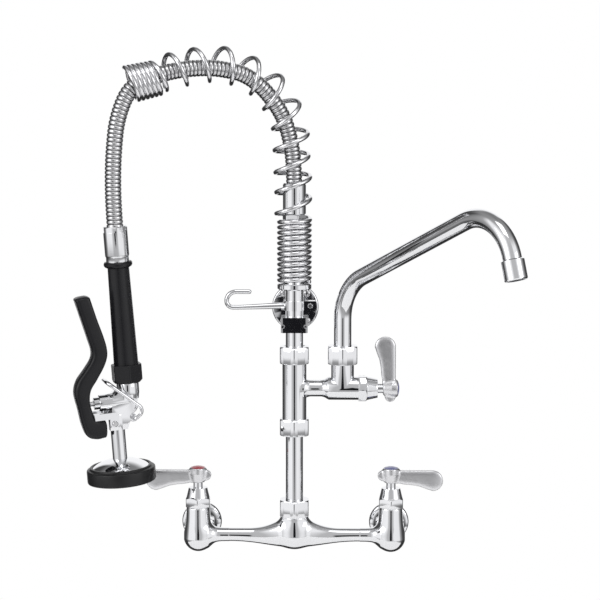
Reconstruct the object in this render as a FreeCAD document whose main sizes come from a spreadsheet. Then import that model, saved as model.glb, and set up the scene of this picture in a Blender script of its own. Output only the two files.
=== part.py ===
import FreeCAD, Part
import math
import os
import re
import Sketcher
from FreeCAD import Placement, Vector

# Wall-mounted pre-rinse faucet with a swing spout, in millimetres.
# The origin is on the wall, midway between the two inlets and at their height.
# +Z is up, -Y points away from the wall towards the user, and the hot side is at -X.

SIZES = """
# overall
inlet_spacing 203.2
wall_distance 60
tee_height 156.9
running_gap 0.05
side_play 0.3
thread_gap 0.05

# mixing body
cross_tube_radius 7
cross_bore_radius 4.5
chamber_radius 15
chamber_bottom_height 2.9
chamber_waist_radius 13
chamber_waist_height 16
chamber_top_radius 12.2
chamber_top 30.8
pocket_radius 6
pocket_depth 8
seat_hole_radius 4.4
seat_height 7
thread_radius 10.3
thread_length 10.3
barrel_radius 8.9
flare_outer 24.6
flare_inner 11
flare_radius 12.3
port_angle 38
port_radius 3
port_start 22
boss_radius 13.5
boss_depth 13.5
boss_top 20.5
boss_flare 40
boss_web_reach 31
boss_web_round 21
boss_web_thickness 12
stub_radius 10.5
column_bore_radius 6.6

# inlets behind the body
shank_radius 12
shank_end 32.5
inlet_tube_radius 9
inlet_thread_radius 9.3
inlet_thread_depth 14
inlet_bore_radius 5.5
inlet_collar_radius 11.9
inlet_collar_length 4
inlet_collar_gap 2
flange_radius 21.5
flange_length 17.2
union_nut_flats 30
union_nut_length 19
union_lip 3.5

# valve cartridges
seal_thickness 2
disc_thickness 3
disc_radius 7
disc_hole_radius 1.8
disc_hole_offset 3.9
foot_thickness 2
stem_radius 4.9
stem_top 56.6
spigot_flats 4.8
spigot_radius 3.2
spigot_length 9.4
valve_hex_flats 25
valve_hex_length 9.8
spout_hex_length 9
bonnet_length 19.9
bonnet_taper_radius 12.3
bonnet_top_radius 9.85
window_radius 1.9

# lever handles
hub_low_radius 6.25
hub_radius 8.35
hub_length 15.6
hub_flare 9
blade_length 54.6
blade_thickness 7
blade_neck_depth 14.6
blade_tip_depth 22
blade_top_drop 2.6
blade_tip_round 11
tail_length 14
tail_depth 10
tail_round 5.3
screw_radius 1.5
screw_head_radius 2.9
screw_head_height 1.7
screw_length 9.5
web_thickness 2
index_radius 7.4
index_thickness 1.8
index_dome 1.5

# riser and its nuts
nut_flats 30
nut_length 17.8
nut_lip 2
pipe_radius 9.25
pipe_bore 7
pipe_collar 2.3
pipe_seal 1.7
pipe_collar_radius 10.45
tee_radius 12.85
tee_bottom 125.1
tee_top 183.4
branch_radius 8.75
branch_start 10
chamber_start 34
branch_chamber_radius 12.15
spout_valve_reach 36.2
upper_riser_top 345

# swing spout
spout_axis 50.3
spout_direction 51
outlet_top 183
outlet_stub_radius 11.5
outlet_stub_length 12
outlet_bore_radius 5.5
socket_radius 8.5
socket_bottom 172
spigot_bottom 174
spout_collar_radius 11
spout_collar_length 3.4
spout_nut_flats 30.5
spout_nut_length 19
spout_nut_lip 3
spout_radius 9.3
spout_wall 1.2
o_ring_low 178
o_ring_high 184
o_ring_thickness 1.6
first_corner 263.5
first_bend 52
spout_slope 23.6
slope_length 253.4
second_bend 47
end_tilt 16.3
end_length 75.4
aerator_radius 11.3
aerator_length 20
aerator_thread 12
aerator_lip 1.2
insert_radius 9.7

# wall bracket
bracket_height 235.4
disc_plate_radius 25
disc_plate_thickness 5
disc_hub_radius 9
disc_hub_length 12
bracket_screw_x 24.8
bracket_screw_z 29.8
bracket_screw_radius 2
bracket_neck_radius 2.1
bracket_hole_radius 2.25
bracket_head_radius 3.8
bracket_screw_length 25
rod_radius 5
clamp_half_width 13.9
clamp_bottom 216.6
clamp_back_top 238.9
clamp_front_top 232.5
clamp_boss_radius 10
clamp_boss_front 48.5
clamp_boss_back 38
clamp_back 40
clamp_front 72.5
clamp_split 0.4
clamp_screw_x 11.6
clamp_screw_height 223.5
clamp_screw_radius 1.25
clamp_head_radius 1.9

# finger hook
hook_ring_radius 11
hook_ring_bottom 239.2
hook_ring_top 249.1
hook_block_reach 22
hook_block_width 10
hook_split 0.5
hook_arm_height 244
hook_arm_radius 3.5
hook_tip_radius 2.4
hook_arm_end 58
hook_drop 2
hook_low_bend 6.6
hook_high_bend 9.8
hook_tip_run 11
hook_screw_radius 1.5
hook_screw_head 2.7

# gooseneck: spring and hose
plane_angle 18
spring_collar_bottom 261.3
spring_collar_top 267.5
spring_collar_radius 18.1
wire_radius 2.4
coil_radius 16.1
closed_pitch 5.49
closed_turns 12
open_pitch 22.3
open_turns 4
arch_turns 6
end_pitch 5.2
end_turns 6.5
coupling_flats 22
coupling_bottom 331
coupling_hex_top 339
coupling_radius 12.2
coupling_top 371.4
hose_radius 8.5
hose_start 347
hose_gap 0.15

# spray valve, in its own frame along the grip
grip_reach 178.2
grip_height 181.4
grip_tilt 4
ferrule_bottom 114.5
ferrule_ring_radius 11.8
ferrule_ring_top 120.3
ferrule_radius 12.5
ferrule_top 150.4
ferrule_flats 23
ferrule_flats_length 6
hose_end 128
core_radius 8
core_bore 5.5
core_bottom -14
core_top 124
grip_top_radius 10.9
grip_low_radius 12.5
grip_bottom 9.4
grip_top 110
grip_flange_radius 14.5
grip_nut_flats 28.5
grip_nut_bottom -9.3
valve_neck_radius 11.5
valve_half_width 9
plunger_height -27.5
housing_radius 8.4
housing_end 31
plunger_cap_radius 6.25
plunger_cap_end 36.5
plunger_bore 5
plunger_radius 2.4
plunger_head_radius 4.6
plunger_tip 40
plunger_collar 26
plunger_travel 2.1
pivot_x 18.3
pivot_z -48.6
pivot_radius 2
pivot_head_radius 3
pivot_head_height 1.5
pivot_depth 5.5
outlet_x 14
outlet_socket_radius 9
outlet_radius 7.5
outlet_spigot_radius 6.5
outlet_joint -56
outlet_bottom -87
outlet_top_end -51.5
outlet_bore 4.5
dome_radius 28.5
dome_rim -95
dome_wall 2.5
dome_curve 52
skirt_bottom -101
bumper_radius 35.1
bumper_bottom -110.5
bumper_lip 23.5
plate_thickness 4
nozzle_radius 1
nozzle_count 12
nozzle_ring 17
lever_squeeze 5
relief_radius 13.5
yoke_plate 2
yoke_gap 0.4
ring_wire_radius 1.8
ring_half_width 14
ring_foot_x -13
ring_foot_z -37.5
ring_top_x 23.5
ring_top_z -5.5
ring_hinge_x -2
ring_hinge_z -46
ring_lug_radius 4.2
"""

doc = FreeCAD.newDocument("pre_rinse_faucet")
sheet = doc.addObject("Spreadsheet::Sheet", "dims")
names = set()
row = 0
for line in SIZES.splitlines():
    if line and not line.startswith("#"):
        row += 1
        name, number = line.split()
        sheet.set("A%d" % row, name)
        sheet.set("B%d" % row, number)
        sheet.setAlias("B%d" % row, name)
        names.add(name)
doc.recompute()
nodes = []


def sized(text):
    """An expression with the sheet's name put in front of every size it mentions."""
    return re.sub(r"[a-z_][a-z_0-9]*",
                  lambda word: "dims." + word.group() if word.group() in names else word.group(), text)


def size(text):
    """The number that an expression of sizes gives."""
    return float(sheet.evalExpression(sized(text)))


def at(x="0", y="0", z="0", about="0;0;1", angle="0"):
    """A placement, written as an expression of sizes."""
    return "placement(vector(%s;%s;%s);rotation(vector(%s);%s))" % (x, y, z, about, angle)


def node(thing):
    """Count a finished piece as one that is written to its own file."""
    nodes.append(thing)
    return thing


def new_body(label, place=None, kept=True):
    """An empty body for one piece, placed by an expression of sizes."""
    body = doc.addObject("PartDesign::Body", label)
    body.Label = label
    if place:
        body.setExpression("Placement", sized(place))
    return node(body) if kept else body


def sketch(body, role, outline, shift=("0", "0", "0")):
    """A closed outline on one of the body's own planes.

    Each corner is (across, up) or (across, up, bend): a bend makes the side that leaves the
    corner an arc of that radius, outwards, or inwards where the bend is negative. Corners run
    anticlockwise.
    """
    drawing = body.newObject("Sketcher::SketchObject", body.Name + "_outline")
    plane = [part for part in body.Origin.OriginFeatures if part.Role == role][0]
    drawing.AttachmentSupport = [(plane, "")]
    drawing.MapMode = "FlatFace"
    if shift != ("0", "0", "0"):
        drawing.setExpression("AttachmentOffset", sized(at(*shift)))
    points = [Vector(size(corner[0]), size(corner[1]), 0) for corner in outline]
    count = len(points)
    first, last = [], []
    for index, corner in enumerate(outline):
        here, there = points[index], points[(index + 1) % count]
        if len(corner) == 2:
            drawing.addGeometry(Part.LineSegment(here, there), False)
            first.append(1)
            last.append(2)
            continue
        bend = size(corner[2])
        chord = there - here
        left = Vector(-chord.y, chord.x, 0).normalize()
        away = math.sqrt(max(bend * bend - chord.Length ** 2 / 4, 0))
        centre = (here + there) * 0.5 + left * math.copysign(away, bend)
        angles = [math.atan2(p.y - centre.y, p.x - centre.x) for p in (here, there)]
        if bend < 0:
            angles.reverse()
        circle = Part.Circle(centre, Vector(0, 0, 1), abs(bend))
        drawing.addGeometry(Part.ArcOfCircle(circle, angles[0], angles[1]), False)
        first.append(1 if bend > 0 else 2)
        last.append(2 if bend > 0 else 1)
    for index in range(count):
        after = (index + 1) % count
        drawing.addConstraint(Sketcher.Constraint("Coincident", index, last[index], after, first[after]))
    for index, corner in enumerate(outline):
        for kind, text, number in (("DistanceX", corner[0], points[index].x),
                                   ("DistanceY", corner[1], points[index].y)):
            if kind == "DistanceX" and text == "0":
                drawing.addConstraint(Sketcher.Constraint("PointOnObject", index, first[index], -2))
                continue
            if kind == "DistanceY" and text == "0":
                drawing.addConstraint(Sketcher.Constraint("PointOnObject", index, first[index], -1))
                continue
            held = drawing.addConstraint(Sketcher.Constraint(kind, -1, 1, index, first[index], number))
            drawing.setExpression("Constraints[%d]" % held, sized(text))
        if len(corner) == 3:
            held = drawing.addConstraint(Sketcher.Constraint("Radius", index, abs(size(corner[2]))))
            drawing.setExpression("Constraints[%d]" % held, sized(corner[2].lstrip("-")))
    return drawing


def turn(body, axis, outline, shift=("0", "0", "0"), cut=False):
    """Add or cut a shape turned about a line parallel to the body's X, Y or Z axis."""
    drawing = sketch(body, "XY_Plane" if axis == "Y" else "XZ_Plane", outline, shift)
    kind = "PartDesign::Groove" if cut else "PartDesign::Revolution"
    feature = body.newObject(kind, body.Name + "_turned")
    feature.Profile = drawing
    feature.ReferenceAxis = (drawing, ["H_Axis" if axis == "X" else "V_Axis"])
    feature.Angle = 360
    return feature


def pad(body, role, outline, thickness, shift=("0", "0", "0"), cut=False):
    """Add or cut a flat shape, its thickness shared between both sides of its plane."""
    drawing = sketch(body, role, outline, shift)
    feature = body.newObject("PartDesign::Pocket" if cut else "PartDesign::Pad", body.Name + "_flat")
    feature.Profile = drawing
    feature.SideType = "Symmetric"
    feature.setExpression("Length", sized(thickness))
    return feature


def bar(body, radius, length, place, cut=False):
    """Add or cut a round bar that starts at a place and runs along that place's Z axis."""
    kind = "PartDesign::SubtractiveCylinder" if cut else "PartDesign::AdditiveCylinder"
    feature = body.newObject(kind, body.Name + "_bar")
    feature.setExpression("Radius", sized(radius))
    feature.setExpression("Height", sized(length))
    feature.setExpression("Placement", sized(place))
    return feature


def polygon(across, sides):
    """The corners of a regular polygon, from the distance across its flats."""
    corners = []
    for index in range(sides):
        angle = 360.0 * (index + 0.5) / sides
        corners.append(("%s / 2 / cos(%g) * cos(%g)" % (across, 180.0 / sides, angle),
                        "%s / 2 / cos(%g) * sin(%g)" % (across, 180.0 / sides, angle)))
    return corners


def flats(body, across, low, high, sides=6):
    """Cut wrench flats on a round blank between two heights."""
    drawing = sketch(body, "XY_Plane", polygon(across, sides), ("0", "0", high))
    ring = drawing.addGeometry(Part.Circle(Vector(0, 0, 0), Vector(0, 0, 1), size(across)), False)
    drawing.addConstraint(Sketcher.Constraint("Coincident", ring, 3, -1, 1))
    held = drawing.addConstraint(Sketcher.Constraint("Radius", ring, size(across)))
    drawing.setExpression("Constraints[%d]" % held, sized(across))
    feature = body.newObject("PartDesign::Pocket", body.Name + "_flats")
    feature.Profile = drawing
    feature.setExpression("Length", sized("(%s) - (%s)" % (high, low)))
    return feature


def group(label, members):
    """Identical pieces that share one node."""
    together = doc.addObject("Part::Compound", label)
    together.Label = label
    together.Links = members
    return node(together)


def bent_path(points, radii):
    """A wire of straight runs joined by an arc at each inner point."""
    edges = []
    start = points[0]
    for index in range(1, len(points) - 1):
        back = (points[index - 1] - points[index]).normalize()
        ahead = (points[index + 1] - points[index]).normalize()
        half = math.acos(max(-1, min(1, back.dot(ahead)))) / 2
        reach = radii[index - 1] / math.tan(half)
        middle = (back + ahead).normalize() * (radii[index - 1] / math.sin(half) - radii[index - 1])
        arc_start = points[index] + back * reach
        arc_end = points[index] + ahead * reach
        edges.append(Part.LineSegment(start, arc_start).toShape())
        edges.append(Part.Arc(arc_start, points[index] + middle, arc_end).toShape())
        start = arc_end
    edges.append(Part.LineSegment(start, points[-1]).toShape())
    return Part.Wire(edges)


def round_sweep(path, radius):
    """A solid of round section along a wire."""
    begin = path.Edges[0].firstVertex().Point
    direction = path.Edges[0].tangentAt(path.Edges[0].FirstParameter)
    section = Part.Wire(Part.Circle(begin, direction, radius).toShape())
    return path.makePipeShell([section], True, False)


def shaped(label, shape, place=None, kept=True):
    """A piece whose shape is worked out here from the sheet's sizes."""
    piece = doc.addObject("Part::Feature", label)
    piece.Label = label
    piece.Shape = shape
    if place:
        piece.setExpression("Placement", sized(place))
    return node(piece) if kept else piece


SIDES = (("hot", "-1", "180"), ("cold", "1", "0"))
COLUMN = at(y="-wall_distance")
GOOSENECK = at(y="-wall_distance", angle="180 + plane_angle")
SPRAY = GOOSENECK + " * " + at("grip_reach", "0", "grip_height", "0;1;0", "grip_tilt")

# Heights inside a valve, counted from the height where its chamber crosses the waterway.
SEAL_TOP = "(seat_height + seal_thickness)"
TURNING_DISC = "(seat_height + seal_thickness + disc_thickness + running_gap)"
FOOT = "(seat_height + seal_thickness + 2 * disc_thickness + running_gap)"
FOOT_TOP = "(seat_height + seal_thickness + 2 * disc_thickness + running_gap + foot_thickness)"
THREAD_START = "(chamber_top - thread_length)"


def cut_valve_seat(body, shift):
    """Cut the threaded mouth, the barrel bore and the seat hole of one valve chamber."""
    turn(body, "Z", [("0", "-pocket_depth"), ("pocket_radius", "-pocket_depth"),
                     ("pocket_radius", "seat_height - 2"), ("seat_hole_radius", "seat_height - 1"),
                     ("seat_hole_radius", "seat_height"),
                     ("barrel_radius + thread_gap", "seat_height"),
                     ("barrel_radius + thread_gap", THREAD_START),
                     ("thread_radius + thread_gap", THREAD_START),
                     ("thread_radius + thread_gap", "chamber_top + 1"), ("0", "chamber_top + 1")],
         shift, cut=True)


# The mixing body is one brass casting: two valve chambers, the cross tube that brings hot and
# cold water together, the threaded boss that the column stands on and two shanks at the back.
body = new_body("mixing_body", COLUMN)
bar(body, "cross_tube_radius", "inlet_spacing", at("-inlet_spacing / 2", about="0;1;0", angle="90"))
for side, sign, angle in SIDES:
    centre = "%s * inlet_spacing / 2" % sign
    turn(body, "Z", [("0", "-chamber_radius - chamber_bottom_height", "chamber_radius"),
                     ("chamber_radius", "-chamber_bottom_height"),
                     ("chamber_waist_radius", "chamber_waist_height"),
                     ("chamber_top_radius", "chamber_top"), ("0", "chamber_top")], (centre, "0", "0"))
    flare = [("flare_inner", "0"), ("flare_outer", "0"), ("flare_outer", "cross_tube_radius", "-30"),
             ("flare_inner", "flare_radius")]
    if side == "cold":
        flare = [("-" + flare[index][0], flare[index][1]) + extra
                 for index, extra in ((1, ()), (0, ()), (3, ("-30",)), (2, ()))]
    turn(body, "X", flare, (centre, "0", "0"))
    turn(body, "Y", [("0", "0"), ("chamber_waist_radius", "0"), ("chamber_waist_radius", "20"),
                     ("shank_radius", "21"), ("shank_radius", "shank_end"), ("0", "shank_end")],
         (centre, "0", "0"))
turn(body, "Z", [("0", "-boss_depth"), ("0.6 * boss_radius", "1 - boss_depth", "16"),
                 ("boss_radius", "0"), ("boss_radius - 1", "boss_top / 2"),
                 ("boss_radius", "boss_top - 3"), ("boss_radius", "boss_top"),
                 ("stub_radius", "boss_top"),
                 ("stub_radius", "boss_top + nut_length - nut_lip - pipe_collar - pipe_seal"),
                 ("0", "boss_top + nut_length - nut_lip - pipe_collar - pipe_seal")])
for sign in ("-1", "1"):
    skirt = [("0", "0"), ("boss_flare", "0"), ("boss_flare", "cross_tube_radius", "-160"),
             ("4", "boss_radius - 1.5"), ("0", "boss_radius - 1.5")]
    if sign == "-1":
        skirt = [("-boss_flare", "0"), ("0", "0"), ("0", "boss_radius - 1.5"),
                 ("-4", "boss_radius - 1.5", "-160"), ("-boss_flare", "cross_tube_radius")]
    turn(body, "X", skirt)
pad(body, "XZ_Plane", [("-boss_web_reach", "0"), ("boss_web_reach", "0"),
                       ("boss_web_reach", "cross_tube_radius - 0.5", "-boss_web_round"),
                       ("boss_radius - 1", "boss_top - 2"),
                       ("1 - boss_radius", "boss_top - 2", "-boss_web_round"),
                       ("-boss_web_reach", "cross_tube_radius - 0.5")], "boss_web_thickness")
for side, sign, angle in SIDES:
    centre = "%s * inlet_spacing / 2" % sign
    cut_valve_seat(body, (centre, "0", "0"))
    bar(body, "inlet_bore_radius", "shank_end + 1", at(centre, about="1;0;0", angle="-90"), cut=True)
    bar(body, "port_radius", "port_start * 0.75 / cos(port_angle)",
        at("%s * (inlet_spacing / 2 - port_start)" % sign, about="0;%s;0" % sign,
           angle="90 - port_angle"), cut=True)
bar(body, "cross_bore_radius", "inlet_spacing - 2 * port_start + 4",
    at("port_start - 2 - inlet_spacing / 2", about="0;1;0", angle="90"), cut=True)
bar(body, "column_bore_radius", "boss_top + nut_length", at(), cut=True)

# Each inlet is a flanged bell against the wall with a female pipe thread, and a short tube with
# a collar that a union nut pulls against a fibre washer on the body's shank.
union_nuts, union_washers = [], []
for side, sign, angle in SIDES:
    centre = "%s * inlet_spacing / 2" % sign
    place = at(centre, "-wall_distance")
    wall = "wall_distance"
    face = "(shank_end + inlet_collar_gap)"
    body = new_body("inlet_" + side, place)
    turn(body, "Y", [("column_bore_radius", face), ("inlet_collar_radius", face),
                     ("inlet_collar_radius", face + " + inlet_collar_length"),
                     ("inlet_tube_radius", face + " + inlet_collar_length"),
                     ("inlet_tube_radius", "wall_distance - flange_length"),
                     ("inlet_tube_radius + 4.2", "wall_distance - flange_length"),
                     ("inlet_tube_radius + 4.5", "wall_distance - 15", "-14"),
                     ("flange_radius - 1", "wall_distance - 4"), ("flange_radius", "wall_distance - 2"),
                     ("flange_radius", wall), ("inlet_thread_radius", wall),
                     ("inlet_thread_radius", "wall_distance - inlet_thread_depth"),
                     ("column_bore_radius", "wall_distance - inlet_thread_depth - 2")])
    body = new_body("union_nut_" + side, place + " * " + at(y="%s + inlet_collar_length + union_lip" % face,
                                                           about="1;0;0", angle="90"), kept=False)
    turn(body, "Z", [("inlet_tube_radius + 0.1", "0"), ("union_nut_flats / 2 + 1", "0"),
                     ("union_nut_flats / 2 * 1.13", "2"),
                     ("union_nut_flats / 2 * 1.13", "union_nut_length - 2"),
                     ("union_nut_flats / 2 + 1", "union_nut_length"),
                     ("shank_radius + thread_gap", "union_nut_length"),
                     ("shank_radius + thread_gap", "union_lip"), ("inlet_tube_radius + 0.1", "union_lip")])
    flats(body, "union_nut_flats", "0", "union_nut_length")
    union_nuts.append(body)
    body = new_body("union_washer_" + side, place, kept=False)
    turn(body, "Y", [("column_bore_radius", "shank_end"), ("inlet_collar_radius", "shank_end"),
                     ("inlet_collar_radius", face), ("column_bore_radius", face)])
    union_washers.append(body)
group("union_nuts", union_nuts)
group("union_washers", union_washers)

# The tee body stands on the riser and carries the swing spout's valve on its +X branch, with a
# boss on the branch's chamber that the spout turns in.
body = new_body("tee_body", at(y="-wall_distance", z="tee_height"))
TEE_LOW = "(tee_bottom - tee_height)"
TEE_HIGH = "(tee_top - tee_height)"
STUB = "(nut_length - nut_lip - pipe_collar - pipe_seal)"
turn(body, "Z", [("0", TEE_LOW + " - " + STUB), ("stub_radius", TEE_LOW + " - " + STUB),
                 ("stub_radius", TEE_LOW), ("tee_radius", TEE_LOW), ("tee_radius", TEE_HIGH),
                 ("stub_radius", TEE_HIGH), ("stub_radius", TEE_HIGH + " + " + STUB),
                 ("0", TEE_HIGH + " + " + STUB)])
turn(body, "X", [("0", "0"), ("spout_valve_reach + chamber_top", "0"),
                 ("spout_valve_reach + chamber_top", "branch_chamber_radius"),
                 ("chamber_start + 2", "branch_chamber_radius"),
                 ("chamber_start", "branch_chamber_radius - 1", "-12"),
                 ("chamber_start - 6", "branch_radius"), ("tee_radius + 4", "branch_radius", "-12"),
                 ("branch_start", "branch_radius + 3"), ("0", "branch_radius + 3")])
turn(body, "Z", [("0", "0"), ("branch_chamber_radius", "0"),
                 ("branch_chamber_radius", "outlet_top - tee_height"),
                 ("outlet_stub_radius", "outlet_top - tee_height"),
                 ("outlet_stub_radius", "outlet_top - tee_height + outlet_stub_length"),
                 ("0", "outlet_top - tee_height + outlet_stub_length")], ("spout_axis", "0", "0"))
bar(body, "column_bore_radius", "2 * tee_height", at(z="-tee_height"), cut=True)
turn(body, "X", [("0", "0"), ("spout_valve_reach + chamber_top + 1", "0"),
                 ("spout_valve_reach + chamber_top + 1", "thread_radius + thread_gap"),
                 ("spout_valve_reach + " + THREAD_START, "thread_radius + thread_gap"),
                 ("spout_valve_reach + " + THREAD_START, "barrel_radius + thread_gap"),
                 ("spout_valve_reach + seat_height", "barrel_radius + thread_gap"),
                 ("spout_valve_reach + seat_height", "seat_hole_radius"),
                 ("spout_valve_reach + seat_height - 2", "seat_hole_radius"),
                 ("spout_valve_reach + seat_height - 3", "inlet_bore_radius"),
                 ("0", "inlet_bore_radius")], cut=True)
turn(body, "Z", [("0", "0"), ("outlet_bore_radius", "0"),
                 ("outlet_bore_radius", "socket_bottom - tee_height"),
                 ("socket_radius", "socket_bottom - tee_height"),
                 ("socket_radius", "outlet_top - tee_height + outlet_stub_length + 1"),
                 ("0", "outlet_top - tee_height + outlet_stub_length + 1")],
     ("spout_axis", "0", "0"), cut=True)

# The three valves are alike. A threaded bonnet holds two ceramic discs on a rubber seal; the
# stem turns the upper disc, and a lever handle is screwed on the stem's square.
VALVES = (("hot", at("-inlet_spacing / 2", "-wall_distance", "0", "0;0;1", "180"), "valve_hex_length"),
          ("cold", at("inlet_spacing / 2", "-wall_distance"), "valve_hex_length"),
          ("spout", at("spout_valve_reach", "-wall_distance", "tee_height", "0;1;0", "90") + " * " +
           at(angle="180"), "spout_hex_length"))
HEX_CORNER = "valve_hex_flats / 2 * 1.13"
SOCKET_TOP = "(stem_top + spigot_length + 0.2)"
WEB_TOP = "(stem_top + spigot_length + 0.2 + web_thickness)"
fixed_discs, seat_seals = [], []
for name, place, hex_length in VALVES:
    hex_top = "(chamber_top + %s)" % hex_length
    body = new_body("bonnet_" + name, place)
    turn(body, "Z", [("disc_radius + running_gap", SEAL_TOP), ("barrel_radius", SEAL_TOP),
                     ("barrel_radius", THREAD_START), ("thread_radius", THREAD_START),
                     ("thread_radius", "chamber_top"), (HEX_CORNER, "chamber_top"),
                     (HEX_CORNER, hex_top + " - 1.5"), ("bonnet_taper_radius", hex_top),
                     ("bonnet_top_radius", "chamber_top + bonnet_length"),
                     ("stem_radius + running_gap", "chamber_top + bonnet_length"),
                     ("stem_radius + running_gap", FOOT_TOP + " + side_play"),
                     ("disc_radius + running_gap", FOOT_TOP + " + side_play")])
    flats(body, "valve_hex_flats", "chamber_top", hex_top)
    bar(body, "window_radius", "3 * barrel_radius",
        at("-1.5 * barrel_radius", "0", FOOT + " - 0.5", "0;1;0", "90"), cut=True)

    body = new_body("seat_seal_" + name, place, kept=False)
    turn(body, "Z", [("seat_hole_radius + 0.2", "seat_height"), ("barrel_radius - 0.1", "seat_height"),
                     ("barrel_radius - 0.1", SEAL_TOP), ("seat_hole_radius + 0.2", SEAL_TOP)])
    seat_seals.append(body)
    for label, low, kept in (("fixed_disc_", SEAL_TOP, False), ("turning_disc_", TURNING_DISC, True)):
        body = new_body(label + name, place, kept=kept)
        turn(body, "Z", [("0", low), ("disc_radius", low), ("disc_radius", low + " + disc_thickness"),
                         ("0", low + " + disc_thickness")])
        for sign in ("-", ""):
            bar(body, "disc_hole_radius", "disc_thickness + 1",
                at("0", sign + "disc_hole_offset", low + " - 0.5"), cut=True)
        if not kept:
            fixed_discs.append(body)

    body = new_body("stem_" + name, place)
    turn(body, "Z", [("0", FOOT), ("disc_radius", FOOT), ("disc_radius", FOOT_TOP),
                     ("stem_radius", FOOT_TOP), ("stem_radius", "stem_top"),
                     ("spigot_radius", "stem_top"), ("spigot_radius", "stem_top + spigot_length"),
                     ("screw_radius + thread_gap", "stem_top + spigot_length"),
                     ("screw_radius + thread_gap", WEB_TOP + " - screw_length - 1"),
                     ("0", WEB_TOP + " - screw_length - 1")])
    flats(body, "spigot_flats", "stem_top", "stem_top + spigot_length", 4)

    top = "(stem_top + hub_length)"
    low = "(stem_top + hub_length - blade_top_drop - blade_tip_depth)"
    neck = "(stem_top + hub_length - blade_top_drop - blade_neck_depth)"
    body = new_body("handle_" + name, place)
    turn(body, "Z", [("0", "stem_top"), ("hub_low_radius", "stem_top"),
                     ("hub_radius", "stem_top + hub_flare"), ("hub_radius", top), ("0", top)])
    pad(body, "XZ_Plane", [("-tail_length", top + " - blade_top_drop - 1 - tail_depth"),
                           ("0", "stem_top + 1"),
                           ("hub_radius + 4", neck), ("0.5 * blade_length", neck + " - 1.8", "-40"),
                           ("blade_length - 9", low, "blade_tip_round"),
                           ("blade_length", "0.5 * (%s + %s) - 0.6" % (low, top), "blade_tip_round"),
                           ("blade_length - 9", top + " - blade_top_drop"),
                           ("0", top + " - blade_top_drop"),
                           ("1 - tail_length", top + " - blade_top_drop - 1", "tail_round")],
        "blade_thickness")
    turn(body, "Z", [("0", WEB_TOP), ("screw_head_radius + 0.6", WEB_TOP),
                     ("screw_head_radius + 0.6", top + " - index_thickness"),
                     ("index_radius + running_gap", top + " - index_thickness"),
                     ("index_radius + running_gap", top + " + 1"), ("0", top + " + 1")], cut=True)
    bar(body, "screw_radius + 0.2", "web_thickness + 1", at(z=SOCKET_TOP + " - 0.5"), cut=True)
    pad(body, "XY_Plane", polygon("(spigot_flats + 2 * thread_gap)", 4), "2 * (spigot_length + 0.2)",
        ("0", "0", "stem_top"), cut=True)

    body = new_body("handle_screw_" + name, place)
    turn(body, "Z", [("0", WEB_TOP + " - screw_length"), ("screw_radius", WEB_TOP + " - screw_length"),
                     ("screw_radius", WEB_TOP), ("screw_head_radius", WEB_TOP),
                     ("screw_head_radius", WEB_TOP + " + screw_head_height"),
                     ("0", WEB_TOP + " + screw_head_height")])
    pad(body, "XZ_Plane", [("-screw_head_radius - 1", WEB_TOP + " + screw_head_height - 0.8"),
                           ("screw_head_radius + 1", WEB_TOP + " + screw_head_height - 0.8"),
                           ("screw_head_radius + 1", WEB_TOP + " + screw_head_height + 1"),
                           ("-screw_head_radius - 1", WEB_TOP + " + screw_head_height + 1")],
        "0.8", cut=True)

    body = new_body("index_" + name, place)
    turn(body, "Z", [("0", top + " - index_thickness"), ("index_radius", top + " - index_thickness"),
                     ("index_radius", top, "(index_radius ^ 2 + index_dome ^ 2) / (2 * index_dome)"),
                     ("0", top + " + index_dome")])
group("fixed_discs", fixed_discs)
group("seat_seals", seat_seals)

# The riser stands in the body's boss and carries the tee. Each end has a collar that a union
# nut pulls against a fibre seal; the same nut holds the upper riser on the tee.
COLLAR = "(nut_lip + pipe_collar)"
body = new_body("riser_pipe", COLUMN)
LOW_END = "(boss_top + nut_length - %s)" % COLLAR
HIGH_END = "(tee_bottom - nut_length + %s)" % COLLAR
turn(body, "Z", [("pipe_bore", LOW_END), ("pipe_collar_radius", LOW_END),
                 ("pipe_collar_radius", LOW_END + " + pipe_collar"),
                 ("pipe_radius", LOW_END + " + pipe_collar"),
                 ("pipe_radius", HIGH_END + " - pipe_collar"),
                 ("pipe_collar_radius", HIGH_END + " - pipe_collar"), ("pipe_collar_radius", HIGH_END),
                 ("pipe_bore", HIGH_END)])
body = new_body("upper_riser", COLUMN)
UPPER_END = "(tee_top + nut_length - %s)" % COLLAR
turn(body, "Z", [("pipe_bore", UPPER_END), ("pipe_collar_radius", UPPER_END),
                 ("pipe_collar_radius", UPPER_END + " + pipe_collar"),
                 ("pipe_radius", UPPER_END + " + pipe_collar"), ("pipe_radius", "upper_riser_top"),
                 ("pipe_bore", "upper_riser_top")])
riser_nuts, riser_seals = [], []
for index, (lip, facing) in enumerate((("boss_top + nut_length", "180"), ("tee_bottom - nut_length", "0"),
                                       ("tee_top + nut_length", "180"))):
    place = at(y="-wall_distance", z=lip, about="1;0;0", angle=facing)
    body = new_body("riser_nut_%d" % (index + 1), place, kept=False)
    turn(body, "Z", [("pipe_radius + thread_gap", "0"), ("nut_flats / 2 + 0.4", "0"),
                     ("nut_flats / 2 * 1.13", "1.5"), ("nut_flats / 2 * 1.13", "nut_length - 1.5"),
                     ("nut_flats / 2 + 0.4", "nut_length"), ("stub_radius + thread_gap", "nut_length"),
                     ("stub_radius + thread_gap", "nut_lip"), ("pipe_radius + thread_gap", "nut_lip")])
    flats(body, "nut_flats", "0", "nut_length")
    riser_nuts.append(body)
    body = new_body("riser_seal_%d" % (index + 1), place, kept=False)
    turn(body, "Z", [("pipe_bore", COLLAR), ("stub_radius - 0.1", COLLAR),
                     ("stub_radius - 0.1", COLLAR + " + pipe_seal"), ("pipe_bore", COLLAR + " + pipe_seal")])
    riser_seals.append(body)
group("riser_nuts", riser_nuts)
group("riser_seals", riser_seals)

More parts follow.
